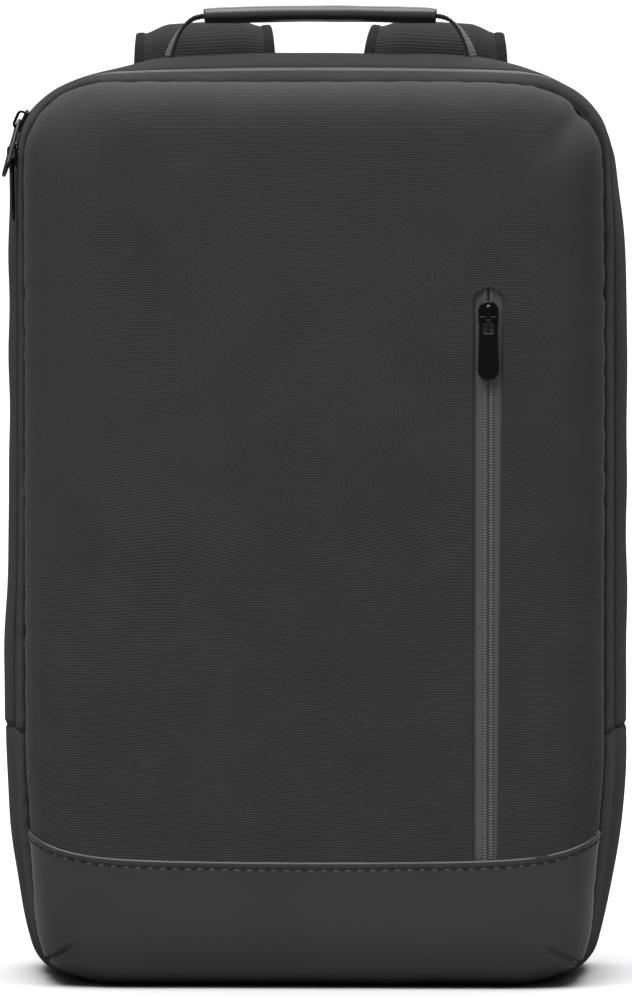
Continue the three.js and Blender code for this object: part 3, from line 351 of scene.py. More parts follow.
class Skin:
    """The bag's skin as a table of points and outward normals, row by row from front to back and node by node
    round each outline."""

    def __init__(self):
        self.rows = np.linspace(0, len(SKIN_ROWS) - 1, 281)
        table = eased(SKIN_ROWS, self.rows)
        x, z = outlines(table)
        self.depth = FRONT_Y + table[:, 0] * BAG_DEPTH
        self.points = np.stack([x, np.broadcast_to(self.depth[:, None], x.shape), z], -1)
        along = np.gradient(self.points, axis=0)
        around = np.roll(self.points, -1, 1) - np.roll(self.points, 1, 1)
        self.normals = unit(np.cross(along, around))
        self.normals[: np.searchsorted(self.rows, 1.0)] = (0, -1, 0)
        self.nodes = x.shape[1]

    def row_at(self, y):
        """Fractional rows of the dense table at given depths behind the face."""
        start = np.searchsorted(self.rows, 1.0)
        return start + np.interp(y, self.depth[start:], np.arange(len(self.depth) - start))

    def ring(self, y):
        """The outline at a depth, with its normals."""
        at = float(self.row_at(y))
        i = min(int(at), len(self.rows) - 2)
        t = at - i
        points = self.points[i] * (1 - t) + self.points[i + 1] * t
        return points, unit(self.normals[i] * (1 - t) + self.normals[i + 1] * t)

    def band(self, depths, columns, over=True):
        """Points and normals of a band between depths: over the top from the right zip end to the left one,
        or underneath from the left to the right. Each ring is cut at the zip end's height and spaced
        evenly."""
        rings, facings = [], []
        for y in depths:
            points, normals = self.ring(y)
            up = np.arange(0, self.nodes // 2 + 1)
            cut = np.interp(ZIP_END_HEIGHT, points[up, 2], up)
            if over:
                keep = np.arange(int(cut) + 1, self.nodes - int(cut))
                ends = (cut, self.nodes - cut)
            else:
                keep = np.arange(-int(cut), int(cut) + 1) % self.nodes
                ends = (self.nodes - cut, cut)
            both = np.concatenate([points, normals], 1)
            first, last = (both[int(e) % self.nodes] * (1 - e % 1) + both[(int(e) + 1) % self.nodes] * (e % 1)
                           for e in ends)
            line = np.vstack([first, both[keep], last])
            run = lengths(line[:, :3])
            at = np.linspace(0, run[-1], columns)
            even = np.stack([np.interp(at, run, line[:, k]) for k in range(6)], 1)
            rings.append(even[:, :3])
            facings.append(unit(even[:, 3:]))
        return np.array(rings), np.array(facings)


skin = Skin()


class Front:
    """The front shell unrolled: a place on it is a point of the pattern, which is the seam's outline filled
    in towards a centre, with the shares of the way along each meridian kept."""

    def __init__(self):
        seam = float(skin.row_at(SEAM_Y - 0.15 * mm))
        whole = np.arange(0, int(seam) + 1)
        part = seam - int(seam)
        rim = skin.points[int(seam)] * (1 - part) + skin.points[int(seam) + 1] * part
        rim_facing = skin.normals[int(seam)] * (1 - part) + skin.normals[int(seam) + 1] * part
        middle = (rim[:, 2].min() + rim[:, 2].max()) / 2
        self.centre = np.array([0.0, middle])
        heart = np.broadcast_to(np.array([0.0, FRONT_Y, middle]), (1, skin.nodes, 3))
        ahead = np.broadcast_to(np.array([0.0, -1.0, 0.0]), (1, skin.nodes, 3))
        meridians = np.concatenate([heart, skin.points[whole], rim[None]])
        facings = np.concatenate([ahead, skin.normals[whole], rim_facing[None]])
        run = np.concatenate([np.zeros((1, skin.nodes)),
                              np.cumsum(np.linalg.norm(np.diff(meridians, axis=0), axis=-1), 0)])
        self.reach = run[-1]
        shares = np.linspace(0, 1, 261)
        both = np.concatenate([meridians, facings], -1)
        self.table = np.stack([
            np.stack([np.interp(shares * run[-1, n], run[:, n], both[:, n, k]) for k in range(6)], 1)
            for n in range(skin.nodes)], 1)
        self.rim = rim[:, [0, 2]]
        away = self.rim - self.centre
        angle = np.unwrap(np.arctan2(away[:, 1], away[:, 0]))
        self.angle = np.concatenate([angle, [angle[0] + 2 * np.pi]])
        self.radius = np.concatenate([np.linalg.norm(away, axis=1), [np.linalg.norm(away[0])]])

    def spot(self, pattern):
        """Pattern points as a share of the way out from the centre and a fractional node number."""
        away = pattern - self.centre
        angle = (np.arctan2(away[..., 1], away[..., 0]) - self.angle[0]) % (2 * np.pi) + self.angle[0]
        node = np.interp(angle, self.angle, np.arange(len(self.angle)))
        rim = self.rim[np.floor(node).astype(int) % skin.nodes]
        nxt = self.rim[(np.floor(node).astype(int) + 1) % skin.nodes]
        edge = rim + (nxt - rim) * (node % 1)[..., None]
        return np.linalg.norm(away, axis=-1) / np.linalg.norm(edge - self.centre, axis=-1), node

    def place(self, pattern):
        """Points and normals of the shell at pattern points, and how far each lies from the seam, in
        metres."""
        share, node = self.spot(pattern)
        row = np.clip(share, 0, 1) * (len(self.table) - 1)
        i = np.minimum(row.astype(int), len(self.table) - 2)
        t = (row - i)[..., None]
        j = np.floor(node).astype(int) % skin.nodes
        k = (j + 1) % skin.nodes
        s = (node % 1)[..., None]
        both = ((self.table[i, j] * (1 - t) + self.table[i + 1, j] * t) * (1 - s)
                + (self.table[i, k] * (1 - t) + self.table[i + 1, k] * t) * s)
        reach = self.reach[j] * (1 - s[..., 0]) + self.reach[k] * s[..., 0]
        return both[..., :3], unit(both[..., 3:]), (1 - share) * reach

    def leather_line(self, lower=0.0):
        """The leather's upper edge in the pattern, left to right, or a line that much lower: on each
        meridian that goes down past it, the place where the skin's height meets the edge's, found between
        two rows."""
        x, z = self.table[..., 0], self.table[..., 2]
        above = z - leather_edge(x) + lower
        crosses = above[-1] <= 0
        i = np.argmax(above <= 0, axis=0)
        n = np.where(crosses)[0]
        low, high = above[i[n] - 1, n], above[i[n], n]
        share = (i[n] - 1 + low / (low - high)) / (len(self.table) - 1)
        line = self.centre + share[:, None] * (self.rim[n] - self.centre)
        line = line[np.argsort(line[:, 0])]
        rim_above = self.rim[:, 1] - leather_edge(self.rim[:, 0]) + lower
        half = skin.nodes // 2
        a = np.argmax(rim_above[:half] > 0)
        t = rim_above[a - 1] / (rim_above[a - 1] - rim_above[a])
        end = self.rim[a - 1] + t * (self.rim[a] - self.rim[a - 1])
        return np.vstack([end * (-1, 1), line, end]), a - 1 + t

    def rim_between(self, first, last):
        """The seam's outline between two fractional nodes, in order, ends included."""
        inner = np.arange(math.floor(first) + 1, math.ceil(last))
        nodes = np.concatenate([[first], inner, [last]])
        low = self.rim[np.floor(nodes).astype(int) % skin.nodes]
        high = self.rim[(np.floor(nodes).astype(int) + 1) % skin.nodes]
        return low + (high - low) * (nodes % 1)[:, None]


def leather_edge(x):
    """Height of the leather's upper edge at x: a slow square rise to the sides and a quick one at the
    corners."""
    share = np.abs(x) / (SKIN_ROWS[6, 1] * HALF_WIDTH)
    return LEATHER_HEIGHT + LEATHER_SWEEP * share ** 2 + LEATHER_UPTURN * share ** 8


def patch(bottom, top, left, right, across, up):
    """A patch between four edges: both pairs of opposite edges blended straight across, added, less the
    blend of the four corners."""
    s, t = across[..., None], up[..., None]

    def along(edge, at):
        run = lengths(edge)
        run /= run[-1]
        return np.stack([np.interp(at, run, edge[:, 0]), np.interp(at, run, edge[:, 1])], -1)

    return ((1 - t) * along(bottom, across) + t * along(top, across)
            + (1 - s) * along(left, up) + s * along(right, up)
            - (1 - s) * (1 - t) * bottom[0] - s * (1 - t) * bottom[-1] - (1 - s) * t * top[0] - s * t * top[-1])


# Meshes.

def grid_faces(rows, columns, closed_rows, closed_columns):
    """A grid's quads as point numbers, and the row and column of each quad's corners."""
    i, j = np.meshgrid(np.arange(rows if closed_rows else rows - 1),
                       np.arange(columns if closed_columns else columns - 1), indexing="ij")
    i1, j1 = (i + 1) % rows, (j + 1) % columns
    quads = np.stack([i * columns + j, i * columns + j1, i1 * columns + j1, i1 * columns + j], -1)
    corners = np.stack([np.stack([i, j], -1), np.stack([i, j + 1], -1),
                        np.stack([i + 1, j + 1], -1), np.stack([i + 1, j], -1)], -2)
    return quads, corners


def mesh_from(name, points, quads):
    """A mesh of points and of quads that hold four point numbers each."""
    mesh = bpy.data.meshes.new(name)
    mesh.from_pydata(points.reshape(-1, 3).tolist(), [], quads.reshape(-1, 4).tolist())
    return mesh


def welded(mesh, distance, outwards=False):
    """Merges the points that lie closer than the distance, and turns the faces outwards where that is
    asked."""
    work = bmesh.new()
    work.from_mesh(mesh)
    bmesh.ops.remove_doubles(work, verts=work.verts, dist=distance)
    if outwards:
        bmesh.ops.recalc_face_normals(work, faces=work.faces)
    work.to_mesh(mesh)
    work.free()


def new_piece(name, points, material, stands_for=(), uv=None, closed_rows=False,
              closed_columns=False, keep=None, facing=None, wall=0.0):
    """A grid of points as an object: a quad for each cell that keep holds, its UV map in metres, its faces
    turned to point along facing or, on a closed form, outwards by the sign of its volume."""
    points = np.asarray(points, float)
    rows, columns = points.shape[:2]
    quads, corners = grid_faces(rows, columns, closed_rows, closed_columns)
    cells = np.ones(quads.shape[:2], bool) if keep is None else keep
    quads, corners = quads[cells], corners[cells]
    flat = points.reshape(-1, 3)
    a, b, c, d = (flat[quads[:, k]] for k in range(4))
    cross = np.cross(c - a, d - b)
    if facing is None:
        inside_out = np.einsum("ij,ij->i", a, cross).sum() < 0
    else:
        wanted = np.broadcast_to(facing, points.shape).reshape(-1, 3)[quads[:, 0]]
        inside_out = np.einsum("ij,ij->i", wanted, cross).sum() < 0
    if inside_out:
        quads, corners = quads[:, ::-1], corners[:, ::-1]
    used, compact = np.unique(quads, return_inverse=True)
    mesh = mesh_from(name, flat[used], compact)
    if uv is not None:
        layer = mesh.uv_layers.new(name="UVMap")
        layer.data.foreach_set("uv", np.asarray(uv, float)[corners[..., 0], corners[..., 1]].ravel())
    return finished(name, mesh, material, "bag", stands_for, wall)


def finished(name, mesh, material, body="bag", stands_for=(), wall=0.0, weld=True):
    """Welds what meets, gives the mesh its wall and material, and puts it on its body."""
    if weld:
        welded(mesh, 1e-6)
    mesh.polygons.foreach_set("use_smooth", np.ones(len(mesh.polygons), bool))
    mesh.materials.append(material)
    mesh.update()
    piece = bpy.data.objects.new(name, mesh)
    bpy.context.scene.collection.objects.link(piece)
    if wall:
        shell = piece.modifiers.new("Wall", "SOLIDIFY")
        shell.thickness = wall
        shell.offset = -1
    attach(piece, body)
    if stands_for:
        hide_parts(*stands_for)
    return piece


def spread_uv(points, closed_columns=False, closed_rows=False):
    """A UV map in metres for a grid: u is the way along the rows and v the way along the columns, each
    measured on the line through the middle of the other."""
    row = points[points.shape[0] // 2]
    column = points[:, points.shape[1] // 2]
    if closed_columns:
        row = np.vstack([row, row[:1]])
    if closed_rows:
        column = np.vstack([column, column[:1]])
    return np.stack(np.meshgrid(lengths(row), lengths(column)), -1)


def carried(middles, wide, thick, profile, caps=True):
    """A closed profile carried along a path: a profile point (a, b) lies at the path's middle plus a times
    the wide direction and b times the thick one. The ends close with rounded rows that shrink to the
    middle."""
    profile = np.broadcast_to(profile, (len(middles),) + profile.shape[-2:])
    rings = (middles[:, None] + profile[..., :1] * wide[:, None] + profile[..., 1:] * thick[:, None])
    if caps:
        inner_first = middles[:1, None] + (rings[:1] - middles[:1, None]) * 0.6
        inner_last = middles[-1:, None] + (rings[-1:] - middles[-1:, None]) * 0.6
        first = np.broadcast_to(middles[:1, None], rings[:1].shape)
        last = np.broadcast_to(middles[-1:, None], rings[:1].shape)
        rings = np.concatenate([first, inner_first, rings, inner_last, last])
    return rings


def rounded_box(width, thickness, radius, steps=4, extra=6):
    """A rectangle with round corners as (a, b) points, with more points along its long sides."""
    corners = []
    for k, (sx, sy) in enumerate(((1, 1), (-1, 1), (-1, -1), (1, -1))):
        turn = np.pi / 2 * (k + np.linspace(0, 1, steps + 1))
        corners.append(np.stack([sx * (width / 2 - radius) + radius * np.cos(turn),
                                 sy * (thickness / 2 - radius) + radius * np.sin(turn)], 1))
        if k in (0, 2):
            start = corners[-1][-1]
            runs = np.linspace(0, 1, extra + 2)[1:-1, None]
            corners.append(start + runs * np.array([-2 * start[0], 0.0]))
    return np.vstack(corners)


def stitches(name, middles, along, facing, long, thick, material):
    """Many short threads as one mesh: each is a six-sided bean, long by twice thick, laid along the seam,
    that bends down at its ends."""
    t = np.linspace(-1, 1, 7)
    bulge = np.sqrt(np.clip(1 - np.abs(t) ** 2.6, 0, 1))
    turn = np.linspace(0, 2 * np.pi, 6, endpoint=False)
    across = np.cross(along, facing)
    lengthwise = along[:, None, None] * (t * long / 2)[None, :, None, None]
    sink = facing[:, None, None] * ((np.abs(t) ** 2 * -0.5 + 0.25) * thick)[None, :, None, None]
    spin = (across[:, None, None] * np.cos(turn)[None, None, :, None]
            + facing[:, None, None] * np.sin(turn)[None, None, :, None]) * (thick * bulge)[None, :, None, None]
    points = middles[:, None, None] + lengthwise + sink + spin
    count, rows, columns = points.shape[:3]
    quads, _ = grid_faces(rows, columns, False, True)
    quads = quads.reshape(1, -1, 4) + (np.arange(count) * rows * columns)[:, None, None]
    mesh = mesh_from(name, points, quads)
    welded(mesh, 1e-7, True)
    return finished(name, mesh, material, weld=False)


# Materials.

class Value:
    """A number in a shader. Arithmetic on it adds Math nodes, also where the plain number comes first."""

    def __init__(self, shader, socket):
        self.shader, self.socket = shader, socket

    def math(self, operation, *others):
        return self.shader.value("ShaderNodeMath", {"operation": operation}, self, *others)

    def __add__(self, other):
        return self.math("ADD", other)

    def __mul__(self, other):
        return self.math("MULTIPLY", other)

    def __sub__(self, other):
        return self.math("SUBTRACT", other)

    def __rsub__(self, other):
        return self.shader.value("ShaderNodeMath", {"operation": "SUBTRACT"}, other, self)

    __radd__, __rmul__ = __add__, __mul__

    def sine(self):
        return self.math("SINE")

    def wave(self):
        """A sine wave that runs from 0 to 1."""
        return self.sine() * 0.5 + 0.5

    def fraction(self):
        return self.math("FRACT")

    def size(self):
        return self.math("ABSOLUTE")

    def floor(self):
        return self.math("FLOOR")

    def step(self, low, high):
        """0 below low and 1 above high, with a smooth rise between."""
        return self.shader.value("ShaderNodeMapRange", {"interpolation_type": "SMOOTHSTEP"},
                                 Value=self, **{"From Min": low, "From Max": high})


class Shader:
    """A material's nodes. Settings and constants go in by name, and links are made for whatever is a
    socket."""

    def __init__(self, name, **constants):
        self.material = bpy.data.materials.new(name)
        self.material.use_nodes = True
        self.tree = self.material.node_tree
        self.surface = self.tree.nodes["Principled BSDF"]
        for socket, value in constants.items():
            self.put(self.surface, socket.replace("_", " "), value)
        self.uv = self.node("ShaderNodeUVMap", {"uv_map": "UVMap"}).outputs["UV"]
        self.place = self.node("ShaderNodeTexCoord", {}).outputs["Object"]

    def put(self, node, socket, value):
        """Links a socket's value in, or sets it where it is a constant."""
        target = node.inputs[socket]
        if isinstance(value, (Value, bpy.types.NodeSocket)):
            self.tree.links.new(value.socket if isinstance(value, Value) else value, target)
        else:
            target.default_value = (*value, 1.0) if target.type == "RGBA" and len(value) == 3 else value

    def node(self, kind, settings, *values, **named):
        """Any node: its settings first, then its sockets' values or links, by order or by name."""
        node = self.tree.nodes.new(kind)
        for key, value in settings.items():
            setattr(node, key, value)
        for index, value in enumerate(values):
            self.put(node, index, value)
        for key, value in named.items():
            self.put(node, key, value)
        return node

    def value(self, kind, settings, *values, **named):
        """A node's first output that is in use, as a number."""
        node = self.node(kind, settings, *values, **named)
        return Value(self, next(s for s in node.outputs if s.enabled))

    def along(self, coordinates=None):
        """The two numbers of the UV map, or the three of other coordinates."""
        split = self.node("ShaderNodeSeparateXYZ", {}, self.uv if coordinates is None else coordinates)
        return [Value(self, s) for s in split.outputs][: 2 if coordinates is None else 3]

    def noise(self, scale, detail=2.0, roughness=0.5):
        """Smooth noise over the piece, as many spots to a metre as scale says."""
        return Value(self, self.node("ShaderNodeTexNoise", {}, Vector=self.place, Scale=scale, Detail=detail,
                                     Roughness=roughness).outputs["Fac"])

    def shade(self, colour_a, colour_b, share):
        """A colour between two others."""
        node = self.node("ShaderNodeMix", {"data_type": "RGBA"}, Factor=share)
        for index, value in ((6, colour_a), (7, colour_b)):
            self.put(node, index, value)
        return node.outputs[2]

    def relief(self, height, distance, strength, under=None):
        """The normal of a surface raised by a height from 0 to 1 over a distance, on top of another
        relief."""
        named = {"Height": height, "Strength": strength, "Distance": distance}
        if under is not None:
            named["Normal"] = under
        return self.node("ShaderNodeBump", {}, **named).outputs["Normal"]

    def finish(self, **links):
        """Feeds the surface's sockets and hands over the material."""
        for socket, value in links.items():
            self.put(self.surface, socket.replace("_", " "), value)
        return self.material


def tinted(tint, factor):
    """A colour made lighter or darker by a factor."""
    return tuple(c * factor for c in tint)


def turns(pitch):
    """Radians to a metre of a wave with that pitch."""
    return 2 * math.pi / pitch


def canvas_finish(name, tint, pitch, rib=1.0):
    """Ribbed canvas: rounded ribs across the cloth, each made of slanting threads that change side from rib
    to rib, with fine fuzz and slow changes of tone."""
    s = Shader(name, Roughness=0.82, Specular_IOR_Level=0.24, Sheen_Weight=0.05, Sheen_Roughness=0.45)
    u, v = s.along()
    rib_wave = (v * turns(pitch)).wave()
    shift = (v * (1 / pitch)).floor() * 2.4
    threads = (u * turns(0.52 * mm) + shift).wave()
    fuzz = s.noise(2600.0, 2.0, 0.6)
    slow = s.noise(34.0, 3.0, 0.55)
    weave = rib_wave * 0.62 + threads * rib_wave * 0.28 + fuzz * 0.16
    light = weave * 0.55 * rib + slow * 0.55
    tone = s.shade(tinted(tint, 0.7), tinted(tint, 1.26), light)
    fine = s.relief(weave, 0.16 * mm * rib, 0.75)
    return s.finish(Base_Color=tone, Roughness=0.9 - weave * 0.1, Normal=s.relief(slow, 1.1 * mm, 0.25, fine))


def twill_finish(name, tint, pitch, slant=1.0):
    """Twill: diagonal ribs with a shallow step between them, crossed by fine threads."""
    s = Shader(name, Roughness=0.84, Specular_IOR_Level=0.16, Sheen_Weight=0.06, Sheen_Roughness=0.5)
    u, v = s.along()
    rib = ((u * slant + v) * turns(pitch)).wave()
    grain = (u * turns(0.6 * mm)).sine() * (v * turns(0.55 * mm)).sine() * 0.5 + 0.5
    fuzz = s.noise(2400.0, 2.0, 0.6)
    slow = s.noise(30.0, 3.0, 0.5)
    weave = rib * 0.55 + grain * 0.25 + fuzz * 0.2
    tone = s.shade(tinted(tint, 0.42), tinted(tint, 1.65), weave * 0.75 + slow * 0.25)
    fine = s.relief(weave, 0.26 * mm, 0.85)
    return s.finish(Base_Color=tone, Roughness=0.92 - weave * 0.12, Normal=s.relief(slow, 1.2 * mm, 0.25, fine))


def leather_finish(name, tint, roughness=0.46):
    """Smooth coated leather: a fine pebble of small cells with worn tops, and a soft sheen that varies a
    little."""
    s = Shader(name, Roughness=roughness, Specular_IOR_Level=0.5, Coat_Weight=0.12, Coat_Roughness=0.35)
    cells = s.node("ShaderNodeTexVoronoi", {"feature": "DISTANCE_TO_EDGE"}, Vector=s.place, Scale=1150.0,
                   Randomness=0.95).outputs["Distance"]
    pebble = Value(s, cells).step(0.02, 0.32)
    pores = s.noise(1900.0, 3.0, 0.6)
    slow = s.noise(26.0, 3.0, 0.5)
    wear = s.noise(9.0, 2.0, 0.5).step(0.45, 0.75)
    tone = s.shade(tinted(tint, 0.86), tinted(tint, 1.2), slow * 0.5 + pebble * 0.2 + wear * 0.3)
    fine = s.relief(pebble * 0.7 + pores * 0.3, 0.035 * mm, 0.55)
    return s.finish(Base_Color=tone, Roughness=roughness + 0.1 - pebble * 0.04 - slow * 0.1,
                    Normal=s.relief(slow, 1.4 * mm, 0.22, fine))


def tape_finish(name, tint):
    """Coated zip tape: a smooth film over a fine weave that shows through it."""
    s = Shader(name, Roughness=0.5, Specular_IOR_Level=0.42, Coat_Weight=0.08, Coat_Roughness=0.3)
    u, v = s.along()
    weave = (u * turns(0.5 * mm)).sine() * (v * turns(0.5 * mm)).sine() * 0.5 + 0.5
    slow = s.noise(60.0, 3.0, 0.5)
    tone = s.shade(tinted(tint, 0.88), tinted(tint, 1.14), weave * 0.3 + slow * 0.6)
    fine = s.relief(weave * 0.6 + s.noise(1800.0, 2.0, 0.5) * 0.4, 0.03 * mm, 0.6)
    return s.finish(Base_Color=tone, Roughness=0.56 - weave * 0.06 - slow * 0.08, Normal=fine)


def metal_finish(name, tint):
    """Black plated zinc: glossy, with faint polishing marks and small brighter rubs."""
    s = Shader(name, Metallic=0.6, Roughness=0.2, Specular_IOR_Level=0.6, Coat_Weight=0.35, Coat_Roughness=0.12)
    marks = s.noise(900.0, 3.0, 0.65)
    rubs = s.noise(220.0, 2.0, 0.5).step(0.62, 0.8)
    tone = s.shade(tinted(tint, 0.9), tinted(tint, 2.2), rubs * 0.5)
    return s.finish(Base_Color=tone, Roughness=0.17 + marks * 0.1 + rubs * 0.08,
                    Normal=s.relief(marks, 0.02 * mm, 0.35))


def webbing_finish(name, tint, pitch):
    """Woven webbing: ribs across its width, in two offset columns of slanting threads. Its colour is darker in
    the grooves between the ribs and between the two columns, as painted shade."""
    s = Shader(name, Roughness=0.72, Specular_IOR_Level=0.4, Sheen_Weight=0.25, Sheen_Roughness=0.4)
    u, v = s.along()
    column = (u * (1 / (1.7 * mm))).fraction() - 0.5
    rib = (v * turns(pitch) + column.size() * 7.0).wave()
    threads = (u * turns(0.42 * mm)).wave()
    edge = 1 - column.size().step(0.36, 0.5)
    weave = rib * edge * 0.7 + threads * 0.18 + s.noise(2600.0, 2.0, 0.6) * 0.12
    # The grooves, where the weave is low, take the darker colour: painted shade.
    tone = s.shade(tinted(tint, 0.45), tinted(tint, 2.1), weave)
    return s.finish(Base_Color=tone, Roughness=0.82 - weave * 0.16, Normal=s.relief(weave, 0.24 * mm, 0.85))


def mesh_finish(name, tint):
    """Spacer mesh: small holes in offset rows between round yarns, with the holes coloured darker as painted
    shade.
    """
    s = Shader(name, Roughness=0.86, Specular_IOR_Level=0.28, Sheen_Weight=0.2, Sheen_Roughness=0.5)
    x, _, z = s.along(s.place)
    row = z * (1 / (2.1 * mm))
    column = x * (1 / (2.4 * mm)) + row.floor() * 0.5
    across, up = column.fraction() - 0.5, row.fraction() - 0.5
    hole = (across * across + up * up * 0.8).math("SQRT")
    yarn = hole.step(0.2, 0.4)
    fuzz = s.noise(2200.0, 2.0, 0.6)
    # The holes take 0.3 of the colour and the yarns up to 1.35: painted shade in the holes.
    tone = s.shade(tinted(tint, 0.3), tinted(tint, 1.35), yarn * 0.8 + fuzz * 0.2)
    return s.finish(Base_Color=tone, Normal=s.relief(yarn * 0.85 + fuzz * 0.15, 0.4 * mm, 0.8))


def thread_finish(name, tint):
    """Twisted sewing thread: slanting strands along its length."""
    s = Shader(name, Roughness=0.62, Specular_IOR_Level=0.4, Sheen_Weight=0.15, Sheen_Roughness=0.4)
    x, _, z = s.along(s.place)
    strand = ((x + z * 0.6) * turns(0.45 * mm)).wave()
    tone = s.shade(tinted(tint, 0.6), tinted(tint, 1.5), strand)
    return s.finish(Base_Color=tone, Normal=s.relief(strand, 0.06 * mm, 0.6))


def plastic_finish(name, tint):
    """Moulded plastic: a fine spark-eroded grain with slightly polished high spots."""
    s = Shader(name, Roughness=0.42, Specular_IOR_Level=0.45)
    grain = s.noise(1500.0, 3.0, 0.6)
    polish = s.noise(80.0, 2.0, 0.5)
    tone = s.shade(tinted(tint, 0.85), tinted(tint, 1.4), polish * 0.6 + grain * 0.2)
    return s.finish(Base_Color=tone, Roughness=0.5 - polish * 0.16, Normal=s.relief(grain, 0.04 * mm, 0.5))


def floor_finish(name, tint):
    """A pale matt studio floor with the faintest mottling, which throws less light back than it shows."""
    s = Shader(name, Roughness=0.9, Specular_IOR_Level=0.15)
    shown = s.shade(tinted(tint, 0.985), tinted(tint, 1.01), s.noise(3.0, 3.0, 0.5))
    seen = s.node("ShaderNodeLightPath", {}).outputs["Is Camera Ray"]
    return s.finish(Base_Color=s.shade(tinted(tint, FLOOR_BOUNCE), shown, seen))


finishes = {}


def finish_of(kind):
    """The material of one kind, made once from the user's sizes and colours."""
    if kind not in finishes:
        sizes, colours = bpy.context.scene.backpack_sizes, bpy.context.scene.backpack_colours
        makers = {
            "canvas": lambda: canvas_finish("Ribbed canvas", tuple(colours.canvas), sizes.rib_pitch),
            "gusset": lambda: twill_finish("Gusset twill", tuple(colours.gusset), sizes.twill_pitch),
            "leather": lambda: leather_finish("Coated leather", tuple(colours.leather)),
            "tape": lambda: tape_finish("Coated zip tape", tuple(colours.tape)),
            # Painted highlight: the grip's leather is the foot's leather made 1.5 times lighter, standing in
            # for the light on the glossy grip.
            "grip": lambda: leather_finish("Grip leather with painted highlight", tinted(colours.leather, 1.5), 0.34),
            # Painted shade: the main zip's tape is the coated zip tape at 0.3 of its colour, standing in for
            # the shade in the gap between the bands over the zip.
            "main_tape_painted_shade": lambda: tape_finish("Main zip tape with painted shade", tinted(colours.tape, 0.3)),
            "metal": lambda: metal_finish("Black plated zinc", tuple(colours.metal)),
            "webbing": lambda: webbing_finish("Woven webbing", tuple(colours.webbing), sizes.web_pitch),
            "strap": lambda: canvas_finish("Strap cloth", tuple(colours.strap), sizes.rib_pitch * 1.05, 1.15),
            "binding": lambda: twill_finish("Edge binding", tinted(colours.gusset, 0.85), 0.8 * mm, 0.3),
            "backing": lambda: mesh_finish("Spacer mesh", tuple(colours.backing)),
            "thread": lambda: thread_finish("Sewing thread", tuple(colours.thread)),
            "plastic": lambda: plastic_finish("Moulded plastic", tuple(colours.plastic)),
            "floor": lambda: floor_finish("Studio floor", tuple(colours.floor)),
        }
        finishes[kind] = makers[kind]()
    return finishes[kind]


# Front of the bag.

def beside_seam(distance, along, sizes, seed, dive=1.0, pucker=1.0):
    """How far cloth stands off beside a seam: it dives as a narrow bell whose width wavers, and puckers
    that fade within a centimetre run beside it."""
    ripple = wave_noise(along, 13 * mm, seed)
    slow = 0.5 + 0.5 * wave_noise(along, 90 * mm, seed + 1)
    fall = ridge(distance + 0.3 * mm * ripple, 1.35 * mm)
    swell = (1 - np.exp(-distance / (1.6 * mm))) * np.exp(-distance / (8 * mm))
    return -sizes.seam_dive * dive * fall + sizes.seam_pucker * pucker * ripple * swell * (0.4 + slow)


def bell(points, across, up, reach_across, reach_up):
    """A soft bump centred on the front at (across, up), with its own reach each way."""
    return np.exp(-((points[..., 0] - across) / reach_across) ** 2 - ((points[..., 2] - up) / reach_up) ** 2)


def crease(points, start, end, width):
    """Closeness to a straight line on the front from start to end, as a bell across it, with the share of
    the way along it."""
    a, b = np.array(start), np.array(end)
    flat = points[..., [0, 2]] - a
    t = np.clip((flat @ (b - a)) / ((b - a) @ (b - a)), 0, 1)
    away = np.linalg.norm(flat - t[..., None] * (b - a), axis=-1)
    return ridge(away, width), t


def round_seam(x, z):
    """A measure that runs on round the front's seam: the height at the sides, and x past 400 mm along the
    top and the foot."""
    return np.where(np.abs(x) > 100 * mm, z, 400 * mm + x)


front = Front()
FOOT_SPLIT, TOP_SPLIT = 36, 143  # nodes in the middle of the foot corner and of the top corner
ARCH, ARCH_POWER, ARCH_MOUTH = 5 * mm, 2.8, 0.34  # the pocket window's arch, and its share left open at the top
LEFT_COLUMNS, WINDOW_COLUMNS, RIGHT_COLUMNS, LOW_ROWS, HIGH_ROWS = 104, 8, 40, 132, 62


def window_edges(z):
    """Left and right side of the pocket's window at a height. The sides lean in downwards, the top is an
    arch, and above it the two lines open out again through the closed cloth."""
    left = POCKET_ACROSS - POCKET_WINDOW / 2
    foot = LEATHER_HEIGHT - LEATHER_UPTURN
    wide = POCKET_WINDOW_FOOT + (POCKET_WINDOW - POCKET_WINDOW_FOOT) * np.clip(
        (z - foot) / (POCKET_TOP - POCKET_CORNER - foot), 0, 1)
    rise = np.clip((z - (POCKET_TOP - ARCH)) / ARCH, 0, 1)
    arch = np.maximum((1 - rise ** ARCH_POWER) ** (1 / ARCH_POWER), ARCH_MOUTH)
    opened = ARCH_MOUTH + (1 - ARCH_MOUTH) * smooth(POCKET_TOP, POCKET_TOP + 16 * mm, z)
    arch = np.where(z > POCKET_TOP, opened, arch)
    middle = left + wide / 2
    return middle - wide / 2 * arch, middle + wide / 2 * arch


def window_distance(points):
    """Distance to the pocket's window on the front: straight out from its sides, and round the centre of
    its arch."""
    x, z = points[..., 0], points[..., 2]
    low, high = window_edges(np.minimum(z, POCKET_TOP - ARCH))
    middle, half = (low + high) / 2, (high - low) / 2
    beside = np.abs(x - middle) - half
    round_ = np.hypot(x - middle, np.maximum(z - (POCKET_TOP - ARCH), 0) * half / ARCH) - half
    return np.maximum(np.where(z > POCKET_TOP - ARCH, round_, beside), 0)


